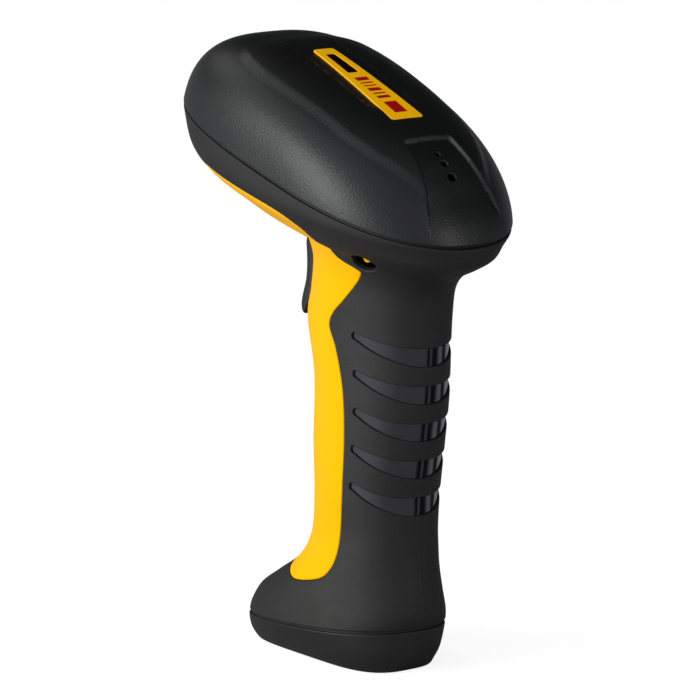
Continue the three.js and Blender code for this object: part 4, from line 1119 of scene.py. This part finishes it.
def make_trigger():
    profile = trigger_profile()
    ends = np.roll(profile, -1, axis=0)

    def reach(z):
        """The front and back of the profile at a height."""
        ys = []
        for (ay, az), (by, bz) in zip(profile, ends):
            if (az > z) != (bz > z):
                ys.append(ay + (by - ay) * (z - az) / (bz - az))
        return min(ys), max(ys)

    low, high = profile[:, 1].min(), profile[:, 1].max()
    heights = low + (high - low) * (1 - np.cos(np.linspace(0.06, PI - 0.06, 70))) / 2
    side = np.linspace(-PI / 2, PI / 2, 33)
    toe = 1.6  # radius of the blade's lower corners
    rings = []
    for i, z in enumerate(heights):
        front, back = reach(z)
        depth = back - front
        from_end = min(i, len(heights) - 1 - i)
        narrower = 0.5 * max(0, 1 - from_end / 4) ** 2
        low_down = max(0, 1 - (z - low) / toe)
        width = TRIGGER_HALF - narrower - toe * (1 - math.sqrt(1 - low_down**2))
        shoulder = min(4.2, depth * 0.9)
        w = np.sign(np.sin(side)) * np.abs(np.sin(side)) ** 0.88 * width
        y = front + shoulder * (1 - np.abs(np.cos(side)) ** 0.85)
        bevel = min(0.5, depth * 0.2)
        right = np.array([[width, back - bevel, z], [width - bevel, back, z]])
        left = right[::-1] * [-1, 1, 1]
        rings.append(np.vstack([np.stack([w, y, np.full(len(side), z)], -1), right, left]))
    points, faces = loft(rings)
    plain_object("trigger_blade", points, faces, "textured_black", "trigger", "trigger_lever", 50)


def make_lanyard_bar():
    half, bevel = LANYARD["half"], LANYARD["bevel"]
    rings = []
    for x in (-half, bevel - half, half - bevel, half):
        radius = LANYARD["radius"] - (bevel if abs(x) == half else 0)
        ring = circle(LANYARD["y"], LANYARD["z"], radius, 32)
        rings.append(np.column_stack([np.full(len(ring), x), ring]))
    points, faces = loft(rings)
    plain_object("lanyard_rod", points, faces, "yellow", "lanyard_bar")


# ---- stage
def area_light(name, size, power, place, aim, color):
    data = bpy.data.lights.new(name, "AREA")
    data.shape = "RECTANGLE"
    data.size, data.size_y = size
    data.energy = power
    data.color = color
    obj = bpy.data.objects.new(name, data)
    bpy.context.scene.collection.objects.link(obj)
    obj.location = place
    obj.rotation_euler = (Vector(aim) - Vector(place)).to_track_quat("-Z", "Y").to_euler()


def make_camera():
    """The photo's viewpoint. Gives the direction from the object to it."""
    data = bpy.data.cameras.new("camera")
    data.sensor_width = 36
    data.lens = CAMERA["lens"]
    data.clip_end = 50
    camera = bpy.data.objects.new("camera", data)
    bpy.context.scene.collection.objects.link(camera)
    azimuth, elevation = math.radians(CAMERA["azimuth"]), math.radians(CAMERA["elevation"])
    level = math.cos(elevation)
    away = Vector((level * math.sin(azimuth), -level * math.cos(azimuth), math.sin(elevation)))
    camera.location = Vector(CAMERA["target"]) + away * CAMERA["distance"]
    camera.rotation_euler = (-away).to_track_quat("-Z", "Y").to_euler()
    bpy.context.scene.camera = camera
    return away


def make_floor():
    """A pale disc that looks nearly white itself but throws only a little light on the object."""
    mesh = bpy.data.meshes.new("floor")
    ring = circle(0, 0, FLOOR_RADIUS, 96)
    mesh.from_pydata([(x, y, 0) for x, y in ring.tolist()], [], [tuple(range(len(ring)))])
    floor = bpy.data.objects.new("floor", mesh)
    bpy.context.scene.collection.objects.link(floor)
    floor.location.z = -0.0002
    paper = node_material("paper", (0.4, 0.4, 0.4), 0.9, grain=2, depth=0.01, mottle=0.01)
    tree = paper.node_tree
    shader = tree.nodes["Principled BSDF"]
    shader.inputs["Emission Color"].default_value = (1, 1, 1, 1)
    sight = add_node(tree, "LightPath", {}).outputs["Is Camera Ray"]
    tree.links.new(calculate(tree, "MULTIPLY", sight, 0.86), shader.inputs["Emission Strength"])
    mesh.materials.append(paper)


def make_stage():
    bpy.context.scene.view_settings.view_transform = "Standard"
    away = make_camera()
    make_floor()
    make_world(away)
    for light in LIGHTS:
        area_light(*light)


def make_world(away):
    """A white background, and round the object a dim studio: panels by direction, and darker above and below.

    Its left and right are fixed once, by the photo's viewpoint, and stay so in every other view.
    """
    world = bpy.data.worlds.new("world")
    bpy.context.scene.world = world
    world.use_nodes = True
    tree = world.node_tree
    way = add_node(tree, "TexCoord", {}).outputs["Generated"]

    def step(value, low, high):
        inputs = {"From Min": low, "From Max": high, "Value": value}
        return add_node(tree, "MapRange", inputs, interpolation_type="SMOOTHSTEP").outputs["Result"]

    near = Vector((away.x, away.y, 0)).normalized()
    toward = along_axis(tree, way, near)
    height = along_axis(tree, way, (0, 0, 1))
    turn = calculate(tree, "ARCTAN2", along_axis(tree, way, (-near.y, near.x, 0)), toward)
    part = calculate(tree, "ADD", calculate(tree, "DIVIDE", turn, 2 * PI), 0.5)
    ramp = add_node(tree, "ValToRGB", {"Fac": part})
    stops = ramp.color_ramp.elements
    for degrees, level in PANELS:
        place = degrees / 360 + 0.5
        stop = stops[0] if degrees == PANELS[0][0] else stops.new(place)
        stop.position = place
        stop.color = (level * 0.95, level * 0.94, level * 1.05, 1)
    stops.remove(stops[-1])
    beyond = calculate(tree, "SUBTRACT", 1.0, step(toward, -0.5, 0.3))
    above = calculate(tree, "SUBTRACT", 1.0, calculate(tree, "MULTIPLY", beyond, step(height, 0.1, 0.4)))
    lit = calculate(tree, "MULTIPLY", 0.45, step(height, -0.75, -0.35))
    shade = calculate(tree, "MULTIPLY", above, calculate(tree, "ADD", 0.55, lit))
    dim = mix_colors(tree, 1, ramp.outputs["Color"], shade, "MULTIPLY")
    sight = add_node(tree, "LightPath", {}).outputs["Is Camera Ray"]
    seen = mix_colors(tree, sight, dim, (1, 1, 1, 1))
    tree.links.new(seen, tree.nodes["Background"].inputs["Color"])


def dress_cad_nodes():
    """Gives the CAD solids that stay in view their procedural materials."""
    slots = {s["node"]: s["material_slot"] for s in frame["record"]["subparts"]}
    for name, obj in frame["nodes"].items():
        obj.data.materials.clear()
        obj.data.materials.append(MATERIALS[slots[name]])


MATERIALS = make_materials()
dress_cad_nodes()
make_body()
make_cover()
make_badge()
make_base()
make_seals()
make_nose()
make_trigger()
make_lanyard_bar()
make_stage()
